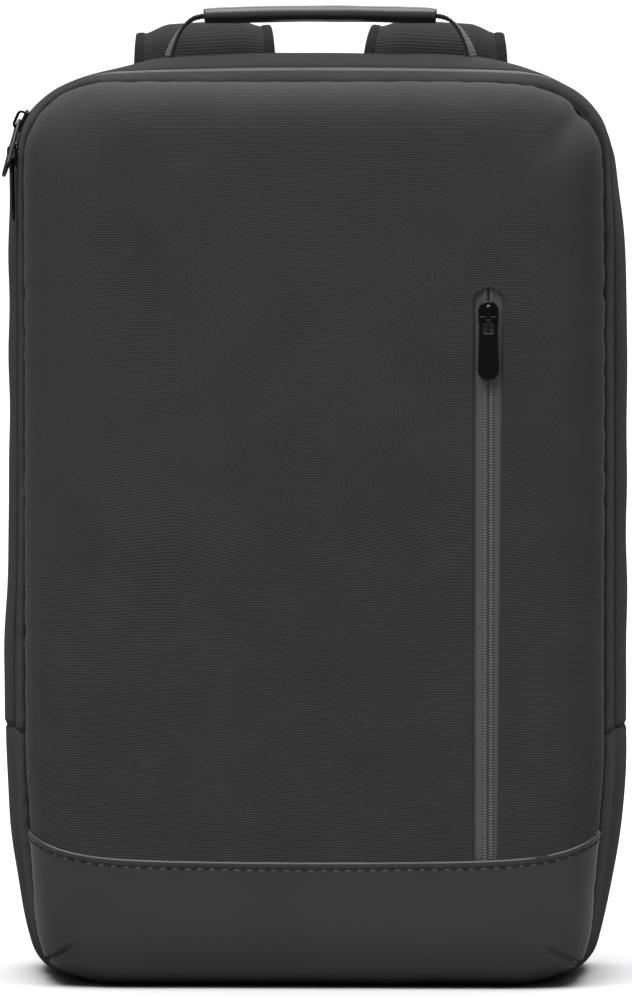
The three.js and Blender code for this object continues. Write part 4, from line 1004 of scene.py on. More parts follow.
class BACKPACK_OT_front_panel(bpy.types.Operator):
    """Make the canvas front with its pocket window"""
    bl_idname = "backpack.front_panel"
    bl_label = "Front panel"

    def execute(self, context):
        sizes = context.scene.backpack_sizes
        bottom, end = front.leather_line(2.2 * mm)
        total = skin.nodes
        top = front.rim_between(TOP_SPLIT, total - TOP_SPLIT)[::-1]
        right = front.rim_between(end, TOP_SPLIT)
        left = front.rim_between(total - TOP_SPLIT, total - end)[::-1]

        def spread(across, up):
            return patch(bottom, top, left, right, across, up)

        heights = np.linspace(0, 1, 400)
        window = front.place(spread(np.full(400, 0.775), heights))[0][:, 2]
        sill = float(np.interp(POCKET_TOP, window, heights))
        up = np.concatenate([sill * crowded(LOW_ROWS, 0.86), sill + (1 - sill) * crowded(HIGH_ROWS, 0.86)[1:]])
        fine = crowded(500, 0.5)
        probe = front.place(spread(*np.meshgrid(fine, up)))[0]
        height = np.array([np.interp(POCKET_ACROSS, row[:, 0], row[:, 2]) for row in probe])
        low, high = window_edges(height)
        first = np.array([np.interp(x, row[:, 0], fine) for x, row in zip(low, probe)])[:, None]
        second = np.array([np.interp(x, row[:, 0], fine) for x, row in zip(high, probe)])[:, None]
        wide = [crowded(n, 0.86)[None, :] for n in (LEFT_COLUMNS, WINDOW_COLUMNS, RIGHT_COLUMNS)]
        across = np.concatenate([first * wide[0], first + (second - first) * wide[1][:, 1:],
                                 second + (1 - second) * wide[2][:, 1:]], 1)
        pattern = spread(across, np.broadcast_to(up[:, None], across.shape))
        points, normals, seam = front.place(pattern)
        x, z = points[..., 0], points[..., 2]
        out = -dent(points) + sizes.face_dome * (
            np.cos(np.pi / 2 * np.clip(x / (118 * mm), -1, 1)) ** 2
            * np.cos(np.pi / 2 * np.clip((z - 232 * mm) / (168 * mm), -1, 1)) ** 2)
        gathers = 1.5 * smooth(160 * mm, 230 * mm, z) * (1 - 0.4 * smooth(350 * mm, 380 * mm, z))
        out += beside_seam(seam, round_seam(x, z), sizes, 5, 1.0, 0.35 + np.where(x > 0, gathers, 0.8))
        edge = window_distance(points)
        out += -0.45 * mm * ridge(edge, 0.4 * mm) + 0.16 * mm * ridge(edge - 1.5 * mm, 0.9 * mm)
        out += (0.35 * mm * wave_noise(x * 0.7 + z * 0.3, 95 * mm, 8)
                + 0.3 * mm * wave_noise(z - x * 0.4, 120 * mm, 9))
        fold, along = crease(points, (124 * mm, 0.4), (98 * mm, 0.372), 5 * mm)
        out += -1.9 * mm * fold * (1 - along) + 1.6 * mm * bell(points, 121 * mm, 0.376, 9 * mm, 16 * mm)
        points = points + normals * out[..., None]
        keep = np.ones((points.shape[0] - 1, points.shape[1] - 1), bool)
        keep[: LOW_ROWS - 1, LEFT_COLUMNS - 1:LEFT_COLUMNS + WINDOW_COLUMNS - 2] = False
        new_piece("front_panel_cloth", points, finish_of("canvas"), stands_for=["front_panel"],
                  uv=pattern * 1.1, keep=keep, facing=normals, wall=1.4 * mm)
        return {"FINISHED"}


class BACKPACK_OT_leather_foot(bpy.types.Operator):
    """Make the leather foot with its folded edge, stitches and corner tucks"""
    bl_idname = "backpack.leather_foot"
    bl_label = "Leather foot"

    def execute(self, context):
        sizes = context.scene.backpack_sizes
        line, end = front.leather_line()
        total = skin.nodes
        bottom = front.rim_between(total - FOOT_SPLIT, total + FOOT_SPLIT)
        right = front.rim_between(FOOT_SPLIT, end)
        left = front.rim_between(total - end, total - FOOT_SPLIT)[::-1]
        tall = 58
        share = np.interp(np.linspace(0, 1, 90)[1:], [0, 0.8, 1], [0, 0.86, 1])
        up = 1 - np.concatenate([FOOT_ROWS, FOOT_ROWS[-1] + (tall - FOOT_ROWS[-1]) * share]) / tall
        columns = crowded(300, 0.86)
        across, rows = np.meshgrid(columns, up)
        pattern = patch(bottom, line, left, right, across, rows)
        down = np.linalg.norm(pattern - pattern[:1], axis=-1)
        roll = np.array([0.0, 0.16, 0.12])[:, None, None] * mm * np.array([0.0, 1.0])
        pattern = np.concatenate([pattern[:1] + roll, pattern])
        down = np.concatenate([np.zeros((3, len(columns))), down])
        points, normals, seam = front.place(pattern)
        x, z = points[..., 0], points[..., 2]
        fold = sizes.leather_fold
        out = 0.45 * mm + (fold - 0.45 * mm) * ridge(down, 5 * mm)
        out -= fold * 0.5 * ridge(down, 0.32 * mm)
        out -= 0.5 * mm * ridge(down - sizes.stitch_inset, 0.5 * mm)
        out[0], out[1], out[2] = -0.5 * mm, 0.05 * mm, 0.4 * fold
        shown = np.where(np.arange(len(out))[:, None] < 1, 0.0, 1.0)
        out = out + beside_seam(seam, round_seam(x, z), sizes, 15, 1.25, 0.35) - dent(points)
        for side, start, stop, depth in FOOT_TUCKS:
            tuck, along = crease(points, start, stop, 0.8 * mm)
            pillow, _ = crease(points, start, stop, 6.5 * mm)
            out += shown * (pillow * 1.5 * mm * (1 - 0.8 * along) - depth * tuck * (1 - 0.55 * along ** 3))
            out += shown * 2.4 * mm * bell(points, side * 119 * mm, 33 * mm, 6.5 * mm, 19 * mm)
            out -= shown * 1.3 * mm * bell(points, side * 104 * mm, 36 * mm, 7 * mm, 24 * mm)
        waves = (0.3 * mm * wave_noise(x + z * 0.5, 70 * mm, 23)
                 + 0.15 * mm * wave_noise(x * 0.6 - z, 34 * mm, 24))
        out += shown * waves
        points = points + normals * out[..., None]
        new_piece("leather_foot", points, finish_of("leather"), stands_for=["leather_panel"],
                  uv=pattern * 1.09, facing=normals, wall=1.3 * mm)
        self.sew(sizes, points, normals, down)
        return {"FINISHED"}

    def sew(self, sizes, points, normals, down):
        """Stitches at even steps along the line of points whose distance below the folded edge is the
        inset."""
        row = 3 + np.argmin(np.abs(down[3:, down.shape[1] // 2] - sizes.stitch_inset))
        line, facing = points[row], normals[row]
        run = lengths(line)
        at = np.arange(3 * mm, run[-1] - 3 * mm, sizes.stitch_pitch)
        both = np.stack([np.interp(at, run, np.concatenate([line, facing], 1)[:, k]) for k in range(6)], 1)
        ahead = np.stack([np.interp(at + mm, run, line[:, k]) for k in range(3)], 1)
        along = unit(ahead - both[:, :3])
        out = unit(both[:, 3:])
        stitches("leather_stitches", both[:, :3] + out * 0.12 * mm, along, out,
                 sizes.stitch_length, 0.36 * mm, finish_of("thread"))


# Sides, top and main zip.

def edge_runs(points):
    """Distances from each point of a band to its first and last row, along the columns, and to both ends."""
    step = np.linalg.norm(np.diff(points, axis=0), axis=-1)
    run = np.concatenate([np.zeros((1, points.shape[1])), np.cumsum(step, 0)])
    middle = points[points.shape[0] // 2]
    along = np.broadcast_to(lengths(middle), run.shape)
    return run, run[-1:] - run, along, along[:, -1:] - along


def cloth_band(name, node, depths, columns, over, sizes, seed, front_seam=False, zip_edge=(False, False)):
    """A band of the gusset: the skin between depths, slightly crowned, dived at its seams and rolled over
    at the edges that lie along the zip."""
    points, normals = skin.band(depths, columns, over)
    first, last, start, stop = edge_runs(points)
    width = first[-1:]
    out = -dent(points) + 0.45 * mm * np.sin(np.pi * np.clip(first / width, 0, 1))
    front_pucker = 1.6 if front_seam else 0.6
    for distance, is_zip, weight in ((first, zip_edge[0], front_pucker), (last, zip_edge[1], 0.6)):
        if is_zip:
            out += -1.2 * mm * ridge(distance, 0.8 * mm)
            out += -0.22 * mm * ridge(distance - 2.6 * mm, 0.4 * mm)
        else:
            out += beside_seam(distance, start, sizes, seed, 1.0, weight)
    ends = np.minimum(start, stop)
    out += -0.9 * mm * ridge(ends, 0.9 * mm) - 0.35 * mm * ridge(ends - 3.2 * mm, 0.5 * mm)
    out += 0.3 * mm * wave_noise(start, 60 * mm, seed + 3) * np.sin(np.pi * np.clip(first / width, 0, 1))
    upright = np.ones_like(normals)
    if not zip_edge[1]:
        upright[..., 1] = smooth(0, 12 * mm, last)
    points = points + normals * upright * out[..., None]
    new_piece(name, points, finish_of("gusset"), stands_for=[node], uv=spread_uv(points),
              facing=normals, wall=1.3 * mm)


class BACKPACK_OT_gussets(bpy.types.Operator):
    """Make the cloth bands of the sides, top and base"""
    bl_idname = "backpack.gussets"
    bl_label = "Sides and top"

    def execute(self, context):
        sizes = context.scene.backpack_sizes
        gap = 0.15 * mm
        zip_edge = ZIP_SHOWN / 2 + gap
        start, stop = SEAM_Y + gap, BACK_SEAM_Y - gap

        def depths(low, high, count):
            return low + (high - low) * crowded(count, 0.82)

        cloth_band("gusset_front_cloth", "gusset_front", depths(start, ZIP_Y - zip_edge, 30), 430, True, sizes,
                   31, True, (False, True))
        cloth_band("gusset_rear_cloth", "gusset_rear", depths(ZIP_Y + zip_edge, stop, 44), 400, True, sizes,
                   41, False, (True, False))
        cloth_band("gusset_lower_cloth", "gusset_lower", depths(start, stop, 62), 250, False, sizes, 51, True)
        return {"FINISHED"}


class BACKPACK_OT_main_zip(bpy.types.Operator):
    """Make the main zip's tape with its closed coil"""
    bl_idname = "backpack.main_zip"
    bl_label = "Main zip"

    def execute(self, context):
        sizes = context.scene.backpack_sizes
        half = ZIP_SHOWN / 2 - 0.15 * mm
        across = np.concatenate([-MAIN_LANES[::-1], MAIN_LANES])
        points, normals = skin.band(ZIP_Y + across * half, 2600, True)
        start = edge_runs(points)[2]
        offset = (across * half)[:, None]
        hump = (1 - smooth(2.1 * mm, 2.9 * mm, np.abs(offset)))
        turn = 2 * np.pi * start / sizes.coil_pitch + np.pi * (offset > 0)
        out = -1.0 * mm + 1.15 * mm * hump + 0.13 * mm * hump * np.sin(turn)
        out -= 0.75 * mm * ridge(offset, 0.3 * mm)
        points = points + normals * (out - dent(points))[..., None]
        # Its tape is the darkened copy of the zip tape: painted shade.
        new_piece("main_zip_tape", points, finish_of("main_tape_painted_shade"), stands_for=["main_zip"],
                  uv=spread_uv(points), facing=normals, wall=0.8 * mm)
        return {"FINISHED"}


class BACKPACK_OT_pocket_zip(bpy.types.Operator):
    """Make the front pocket's zip tape, with the coil that shows through its film"""
    bl_idname = "backpack.pocket_zip"
    bl_label = "Pocket zip"

    def execute(self, context):
        sizes = context.scene.backpack_sizes
        half = POCKET_WINDOW / 2 + 5 * mm
        foot = LEATHER_HEIGHT - LEATHER_UPTURN / 2
        top = POCKET_TOP + 5 * mm
        lane = np.append(POCKET_LANES * mm, half)
        across = np.concatenate([-lane[:0:-1], lane])
        count = int((top - foot) / sizes.coil_pitch * 5)
        x, z = np.meshgrid(across, np.linspace(foot, top, count))
        hump = 1 - smooth(1.9 * mm, 3.1 * mm, np.abs(x))
        open_ = smooth(POCKET_TOP - 8.5 * mm, POCKET_TOP - 6 * mm, z)
        turn = 2 * np.pi * z / sizes.coil_pitch + 0.9 * np.pi * (x > 0)
        bead = np.sin(turn) * 0.5 + 0.5
        rise = 0.7 * mm * hump + 0.6 * mm * hump * bead * ridge(np.abs(x) - 1.5 * mm, 1.1 * mm) * (1 - open_)
        slit = 0.6 + 0.4 * np.sin(2 * np.pi * z / sizes.coil_pitch)
        rise -= 1.6 * mm * slit * ridge(x, 0.24 * mm)
        rise -= open_ * 1.2 * mm * ridge(x, 0.45 * mm)
        tuck = smooth(POCKET_WINDOW / 2 - 0.4 * mm, POCKET_WINDOW / 2 + 1.2 * mm, np.abs(x))
        y = FRONT_Y + (1.35 + 0.8 * tuck) * mm - rise * 0.8
        points = np.stack([x + POCKET_ACROSS, y, z], -1)
        new_piece("pocket_zip_tape", points, finish_of("tape"), stands_for=["pocket_zip"],
                  uv=np.stack([x, z], -1), facing=np.array([0, -1.0, 0]), wall=0.8 * mm)
        return {"FINISHED"}


# Zip hardware.

def node_points(node):
    """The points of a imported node, and the three corners of each of its faces."""
    mesh = frame["nodes"][node].data
    points = np.zeros(len(mesh.vertices) * 3)
    mesh.vertices.foreach_get("co", points)
    corners = np.zeros(len(mesh.loops), int)
    mesh.loops.foreach_get("vertex_index", corners)
    points = points.reshape(-1, 3)
    return points, points[corners.reshape(-1, 3)]


def slider_axes(node):
    """A slider's middle and its across, up and out directions: the mean square of its faces' normals,
    weighted by area, is greatest out of its plate, its longer side runs up, and its rounded end is its
    top."""
    points, corners = node_points(node)
    cross = np.cross(corners[:, 1] - corners[:, 0], corners[:, 2] - corners[:, 0])
    area = np.linalg.norm(cross, axis=1)
    spread = np.einsum("i,ij,ik->jk", area, unit(cross), unit(cross))
    _, axes = np.linalg.eigh(spread)
    out, one, two = axes[:, 2], axes[:, 0], axes[:, 1]
    away = points.mean(0) - np.array([0, ZIP_Y, BAG_HEIGHT / 2])
    out = out * np.sign(out @ away)
    up = one if np.ptp(points @ one) > np.ptp(points @ two) else two
    across = np.cross(up, out)
    middle = sum(axis * (points @ axis).min() / 2 + axis * (points @ axis).max() / 2
                 for axis in (across, up, out))
    local = points - middle
    ends = [np.abs((local @ across)[side * (local @ up) > 4.9 * mm]).max() for side in (1, -1)]
    if ends[0] > ends[1]:
        up, across = -up, -across
    base = middle - out * np.ptp(points @ out) / 2
    return base, across, up, out


def pull_axes(node, joint):
    """A pull's pin and its across, up and out directions, from its joint and the way that its tab hangs."""
    hinge = next(j for j in frame["joints"] if j["name"] == joint)
    pin, across = np.array(hinge["pos_m"]), unit(np.array(hinge["axis"], float))
    points, _ = node_points(node)
    down = points.mean(0) - pin
    down = unit(down - across * (down @ across))
    out = np.cross(across, -down)
    if out @ (pin - np.array([0, ZIP_Y, BAG_HEIGHT / 2])) < 0:
        across, out = -across, -out
    return pin, across, -down, out


def put(local, axes):
    """Points given across, up and out from an origin, moved to their place on the bag."""
    origin, across, up, out = axes
    return origin + local[..., :1] * across + local[..., 1:2] * up + local[..., 2:] * out


def plate(outline, low, high, bevel, crown=0.0):
    """A thick plate with rounded edges: the outline shrunk towards its middle ring by ring, up its rounded
    side and in to the middle again, with the top raised as a shallow dome."""
    middle = outline.mean(0)
    radius = np.linalg.norm(outline - middle, axis=1).mean()
    turn = np.linspace(0, np.pi / 2, 4)
    insets = np.concatenate([[radius, radius * 0.5], bevel * (1 - np.sin(turn)), bevel * (1 - np.cos(turn)),
                             [radius * 0.3, radius * 0.6, radius]])
    heights = np.concatenate([[low, low], low + bevel * (1 - np.cos(turn)), high - bevel * (1 - np.sin(turn)),
                              [high + crown * 0.5, high + crown * 0.85, high + crown]])
    shrink = np.clip(1 - insets / radius, 0, 1)[:, None, None]
    flat = middle + (outline - middle)[None] * shrink
    return np.concatenate([flat, np.broadcast_to(heights[:, None, None], flat.shape[:2] + (1,))], -1)


def ring_plate(outer, inner, thickness, bevel):
    """A plate with a hole: a rounded section from the inner outline to the outer one, carried round both."""
    turn = np.linspace(0, np.pi / 2, 4)
    half = thickness / 2
    reach = np.linalg.norm(outer - inner, axis=1)
    edge = bevel / reach
    one, zero = np.ones_like(reach), np.zeros_like(reach)
    shares, heights = [], []
    for rise, inward, sign in ((turn, False, 1), (turn[::-1], True, 1),
                               (turn, True, -1), (turn[::-1], False, -1)):
        if inward == (sign > 0):
            shares.append((one - edge * 1.25 if inward else edge * 1.25) + zero)
            heights.append(sign * half)
        for a in rise:
            lift = sign * (half - bevel + bevel * np.sin(a))
            share = edge * (1 - np.cos(a)) if not inward else one - edge * (1 - np.cos(a))
            shares.append(share + zero)
            heights.append(lift)
        if inward != (sign > 0):
            shares.append((one - edge * 1.25 if inward else edge * 1.25) + zero)
            heights.append(sign * half)
    shares = np.array(shares)[..., None]
    flat = inner[None] * (1 - shares) + outer[None] * shares
    return np.concatenate([flat, np.broadcast_to(np.array(heights)[:, None, None], flat.shape[:2] + (1,))], -1)


def new_group(name, grids, material, body, stands_for):
    """Several closed grids as one object, each turned outwards by the sign of its own volume. A grid comes
    with whether its rows close, as its columns always do."""
    points, faces, count = [], [], 0
    for grid, closed_rows in grids:
        quads, _ = grid_faces(grid.shape[0], grid.shape[1], closed_rows, True)
        quads = quads.reshape(-1, 4)
        flat = grid.reshape(-1, 3)
        a, b, c, d = (flat[quads[:, k]] for k in range(4))
        if np.einsum("ij,ij->i", a - flat.mean(0), np.cross(c - a, d - b)).sum() < 0:
            quads = quads[:, ::-1]
        points.append(flat)
        faces.append(quads + count)
        count += len(flat)
    mesh = mesh_from(name, np.vstack(points), np.vstack(faces))
    return finished(name, mesh, material, body, stands_for)


def slider_grids(axes):
    """A slider: a rounded plate, wide at its top, with an arched bridge over it and a flange down each
    side."""
    half, wide, waist, rise = 5.7 * mm, 4.7 * mm, 3.6 * mm, 3.3 * mm
    low, high = 0.8 * mm + 0.1 * mm, 0.8 * mm + 1.4 * mm
    arc = np.linspace(0.1, 0.9, 17) * np.pi
    top = np.stack([wide * np.cos(arc), half - wide + wide * np.sin(arc)], 1)
    corner = np.array([[-wide, half * 0.22], [-waist - 0.1 * mm, -half + 0.7 * mm], [-waist + 0.5 * mm, -half],
                       [waist - 0.5 * mm, -half], [waist + 0.1 * mm, -half + 0.7 * mm], [wide, half * 0.22]])
    outline = evened(np.vstack([top, corner, top[:1]]), 65)[:-1]
    body = put(plate(outline, low, high, 0.42 * mm, 0.25 * mm), axes)
    reach, bend = 4.5 * mm - 0.55 * mm, rise * 0.5
    turn = np.linspace(0, np.pi / 2, 7)
    path = np.concatenate([
        [[-reach, -0.4 * mm]],
        np.stack([-reach + bend - bend * np.cos(turn), rise - 0.55 * mm - bend + bend * np.sin(turn)], 1),
        np.stack([reach - bend + bend * np.sin(turn), rise - 0.55 * mm - bend + bend * np.cos(turn)], 1),
        [[reach, -0.4 * mm]],
    ])
    path = evened(path, 40)
    middles = np.stack([np.zeros(40), path[:, 0], path[:, 1] + high], 1)
    tangent = unit(np.gradient(middles, axis=0))
    wide_way = np.broadcast_to([1.0, 0, 0], tangent.shape)
    swell = 1 + 0.22 * np.sin(np.pi * np.linspace(0, 1, 40))
    section = rounded_box(1.8 * mm, 1.1 * mm, 0.4 * mm, 3, 1)[None] * swell[:, None, None]
    bridge = put(carried(middles, wide_way, np.cross(wide_way, tangent), section), axes)
    grids = [(body, False), (bridge, False)]
    for side in (-1, 1):
        x = side * (2.8 + 0.4 + 0.7) * mm
        run = np.linspace(-5.1, 1.7, 6) * mm
        middles = np.stack([np.full(6, x), run, np.full(6, 0.75 * mm)], 1)
        flange = carried(middles, np.broadcast_to([1.0, 0, 0], (6, 3)), np.broadcast_to([0, 0, 1.0], (6, 3)),
                         rounded_box(1.3 * mm, 1.4 * mm, 0.3 * mm, 2, 1))
        grids.append((put(flange, axes), False))
    return grids


def pull_grids(axes):
    """A pull: a tapered tab with a round end, carried as a rounded section round its window, whose top bar is
    the pin."""
    length_, top, foot = 28.6 * mm, 4.0 * mm, 4.8 * mm
    arc = np.linspace(0, np.pi, 25)
    end = np.stack([foot * np.cos(arc), -length_ + foot - foot * np.sin(arc)], 1)
    outer = np.vstack([[[0, 0.65 * mm], [top - 0.5 * mm, 0.65 * mm], [top, 0.1 * mm]], end,
                       [[-top, 0.1 * mm], [-top + 0.5 * mm, 0.65 * mm], [0, 0.65 * mm]]])
    low, high, half, round_ = -7.05 * mm, -0.65 * mm, 2.6 * mm, 0.7 * mm
    side = np.array([[0, high], [half - 0.3 * mm, high], [half, high - 0.3 * mm], [half, low + round_],
                     [half - round_ * 0.3, low + round_ * 0.3], [half - round_, low]])
    inner = np.vstack([side, side[::-1] * (-1, 1)])
    count = 120
    tab = ring_plate(evened(outer, count + 1)[:-1], evened(inner, count + 1)[:-1], 1.5 * mm, 0.42 * mm)
    return [(put(tab, axes), True)]


class BACKPACK_OT_zip_hardware(bpy.types.Operator):
    """Make the sliders and the pulls that swing on them"""
    bl_idname = "backpack.zip_hardware"
    bl_label = "Sliders and pulls"

    def execute(self, context):
        metal = finish_of("metal")
        for slider, pull, body, joint in (
                ("pocket_slider", "pocket_pull", "front_pull", "front_pull_swing"),
                ("side_slider_upper", "side_pull_upper", "upper_pull", "upper_pull_swing"),
                ("side_slider_lower", "side_pull_lower", "lower_pull", "lower_pull_swing")):
            new_group(slider + "_cast", slider_grids(slider_axes(slider)), metal, "bag", [slider])
            new_group(pull + "_cast", pull_grids(pull_axes(pull, joint)), metal, body, [pull])
        return {"FINISHED"}


# Padded back.

def rim_share(points, ring):
    """How far out each point lies between the ring's centre and the ring in the same direction, and how far
    from the ring it is, in metres."""
    centre = ring_centre(ring)
    away = ring - centre
    angle = np.unwrap(np.arctan2(away[:, 1], away[:, 0]))
    radius = np.linalg.norm(away, axis=1)
    order_angle = np.concatenate([angle, [angle[0] + 2 * np.pi]])
    order_radius = np.concatenate([radius, radius[:1]])
    flat = points[..., [0, 2]] - centre
    turn = (np.arctan2(flat[..., 1], flat[..., 0]) - angle[0]) % (2 * np.pi) + angle[0]
    limit = np.interp(turn, order_angle, order_radius)
    reach = np.linalg.norm(flat, axis=-1)
    return reach / limit, limit - reach


def refilled(points, ring):
    """Points drawn out again to their ring after remeshing has shrunk them: the farthest point of each of
    many sectors is brought to the ring, and the others move by the sixth power of how far out they lie."""
    share, _ = rim_share(points, ring)
    middle = ring_centre(ring)[1]
    sectors = 90
    place = (np.arctan2(points[:, 2] - middle, points[:, 0]) + np.pi) / (2 * np.pi) * sectors
    far = np.zeros(sectors)
    np.maximum.at(far, place.astype(int) % sectors, share)
    far = (np.roll(far, 1) + far * 2 + np.roll(far, -1)) / 4
    limit = np.interp(place - 0.5, np.arange(-1, sectors + 1), np.concatenate([far[-1:], far, far[:1]]))
    grow = 1 + (0.994 / limit - 1) * np.clip(share / limit, 0, 1) ** 6
    centre = np.array([0, 0, middle])
    return centre + (points - centre) * np.stack([grow, np.ones_like(grow), grow], 1)


def evaluated(piece):
    """A new mesh of a piece with its modifiers applied."""
    return bpy.data.meshes.new_from_object(piece.evaluated_get(bpy.context.evaluated_depsgraph_get()))


def vertices(mesh):
    """A mesh's points as an array."""
    points = np.zeros(len(mesh.vertices) * 3)
    mesh.vertices.foreach_get("co", points)
    return points.reshape(-1, 3)


def blown_up(mesh, voxel, cap):
    """A closed form after a cloth simulation: it is remeshed in voxels and swells by its inner pressure
    without weight for 20 frames. Each point keeps no more than cap of its way, and the result is subdivided
    once."""
    scene = bpy.context.scene
    piece = bpy.data.objects.new("cloth_trial", mesh)
    scene.collection.objects.link(piece)
    remesh = piece.modifiers.new("Remesh", "REMESH")
    remesh.mode, remesh.voxel_size = "VOXEL", voxel
    bpy.context.view_layer.update()
    coarse = evaluated(piece)
    piece.modifiers.clear()
    piece.data = coarse
    start = vertices(coarse)
    cloth = piece.modifiers.new("Cloth", "CLOTH")
    cloth.settings.use_pressure = True
    cloth.settings.uniform_pressure_force = 4.0
    cloth.settings.effector_weights.gravity = 0.0
    cloth.settings.quality = 5
    cloth.point_cache.frame_start, cloth.point_cache.frame_end = 1, 20
    for step in range(1, 21):
        scene.frame_set(step)
    swollen = evaluated(piece)
    move = vertices(swollen) - start
    far = np.linalg.norm(move, axis=1, keepdims=True)
    start = start + move * np.minimum(1, cap / np.maximum(far, 1e-9))
    piece.modifiers.clear()
    scene.frame_set(1)
    coarse.vertices.foreach_set("co", start.ravel())
    coarse.update()
    fine = piece.modifiers.new("Subdivision", "SUBSURF")
    fine.levels = fine.render_levels = 1
    bpy.context.view_layer.update()
    done = evaluated(piece)
    bpy.data.objects.remove(piece)
    return done


class BACKPACK_OT_back_pad(bpy.types.Operator):
    """Make the padded back with its sewn channels and bound edge"""
    bl_idname = "backpack.back_pad"
    bl_label = "Padded back"

    def execute(self, context):
        sizes = context.scene.backpack_sizes
        ring = skin.points[-1][:, [0, 2]]
        centre = ring_centre(ring)
        shares = np.concatenate([np.linspace(0, 0.94, 40), [0.96, 0.975, 0.985], [0.992, 0.992],
                                 [0.985, 0.975, 0.96], np.linspace(0.94, 0, 40)])
        half = len(shares) // 2
        flat = centre + (ring - centre)[None] * shares[:, None, None]
        face = BACK_SEAM_Y + 0.3 * mm
        crown = BACK_SEAM_Y + 3 * mm + 3.6 * mm * np.clip(1 - shares ** 8, 0, 1)
        depth = np.where(np.arange(len(shares)) < half, face, crown)
        grid = np.stack([flat[..., 0], np.broadcast_to(depth[:, None], flat.shape[:2]), flat[..., 1]], -1)
        quads, _ = grid_faces(grid.shape[0], grid.shape[1], False, True)
        mesh = mesh_from("back_pad_blank", grid, quads)
        welded(mesh, 1e-6, True)
        mesh = blown_up(mesh, 4.5 * mm, sizes.pad_swell)
        points = refilled(vertices(mesh), ring)
        _, inside = rim_share(points, ring)
        x, z = points[:, 0], points[:, 2]
        back = smooth(BACK_SEAM_Y + 2 * mm, BACK_SEAM_Y + 5 * mm, points[:, 1])
        groove = 1.7 * mm * ridge(inside - 13 * mm, 1.8 * mm)
        field = smooth(14 * mm, 20 * mm, inside)
        groove += 3.2 * mm * np.exp(-(np.abs(x) / (12 * mm)) ** 4) * field
        for height in CHANNELS:
            bow = height * BAG_HEIGHT - 20 * mm * (1 - (np.abs(x) / HALF_WIDTH)) ** 2
            groove += 2.0 * mm * ridge(z - bow, 2.0 * mm) * field * smooth(14 * mm, 20 * mm, np.abs(x))
        crown = BACK_Y - 0.3 * mm - 2.2 * mm * np.exp(-inside / (6 * mm))
        points[:, 1] = np.minimum(points[:, 1], crown) - np.minimum(groove, 3.8 * mm) * back
        points[:, 1] = np.maximum(points[:, 1], BACK_SEAM_Y + 0.2 * mm)
        mesh.vertices.foreach_set("co", points.ravel())
        pad = finished("back_pad", mesh, finish_of("backing"), "bag", ["back_panel"],
                       weld=False)
        self.bind(ring)
        return {"FINISHED"}

    def bind(self, ring):
        """The edge binding: a flat rounded section carried round the outline of the back."""
        line = evened(np.vstack([ring, ring[:1]]), 401)[:-1]
        flat = np.stack([line[:, 0], np.full(len(line), BACK_SEAM_Y + 1.3 * mm), line[:, 1]], 1)
        away = line - ring_centre(ring)
        along = np.roll(flat, -1, 0) - np.roll(flat, 1, 0)
        back = np.broadcast_to([0.0, 1.0, 0.0], flat.shape)
        out = unit(np.cross(along, back))
        out *= np.sign((out[:, [0, 2]] * away).sum(1))[:, None]
        turn = np.linspace(0, 2 * np.pi, 13)[:-1]
        section = np.stack([2.6 * mm * np.cos(turn) - 2.1 * mm, 2.5 * mm * np.sin(turn)], 1)
        rings = carried(flat, out, back, section, caps=False)
        new_piece("back_binding", rings, finish_of("binding"), uv=spread_uv(rings, True, True),
                  closed_rows=True, closed_columns=True)


# Handle.

def handle_path(step):
    """The handle's middle line, cross directions and turns: the table's rows, mirrored, with a shallow arch
    between them, joined by a smooth curve, in even steps from the right foot to the left one."""
    def leg(side):
        x = side * HANDLE_ROWS[:, 0] * HANDLE_SPAN / 2
        foot = np.interp(HANDLE_ACROSS + side * HANDLE_SPAN / 2, *top_line()) + 0.3 * mm
        z = foot + HANDLE_ROWS[:, 1] * (BAG_HEIGHT + HANDLE_RISE - foot)
        return np.stack([x, z, side * HANDLE_ROWS[:, 2]], 1)

    right, left = leg(1), leg(-1)[::-1]
    share = np.array([0.66, 0.33, 0, -0.33, -0.66])
    arch = BAG_HEIGHT + HANDLE_RISE + 1.2 * mm * (1 - share ** 2)
    held = np.stack([share * right[-1, 0], arch, 0 * share], 1)
    rows = np.vstack([right, held, left])
    at = np.linspace(0, len(rows) - 1, 1200)
    path = spline(rows * np.array([1, 1, 1e-4]), at)
    run = np.linalg.norm(np.diff(path[:, :2], axis=0), axis=1).sum()
    path = evened(path, int(run / step))
    turn = np.radians(path[:, 2] * 1e4)
    middles = np.stack([HANDLE_ACROSS + path[:, 0], np.full(len(path), HANDLE_Y), path[:, 1]], 1)
    along = unit(np.gradient(middles, axis=0))
    wide = np.stack([np.sin(turn), np.cos(turn), 0 * turn], 1)
    wide = unit(wide - along * (wide * along).sum(1)[:, None])
    return middles, wide, np.cross(wide, along)


def top_line():
    """The bag's top at the handle's depth, as heights over x."""
    points, _ = skin.ring(HANDLE_Y)
    over = points[points[:, 2] > BAG_HEIGHT * 0.9]
    order = np.argsort(over[:, 0])
    return over[order, 0], over[order, 2]


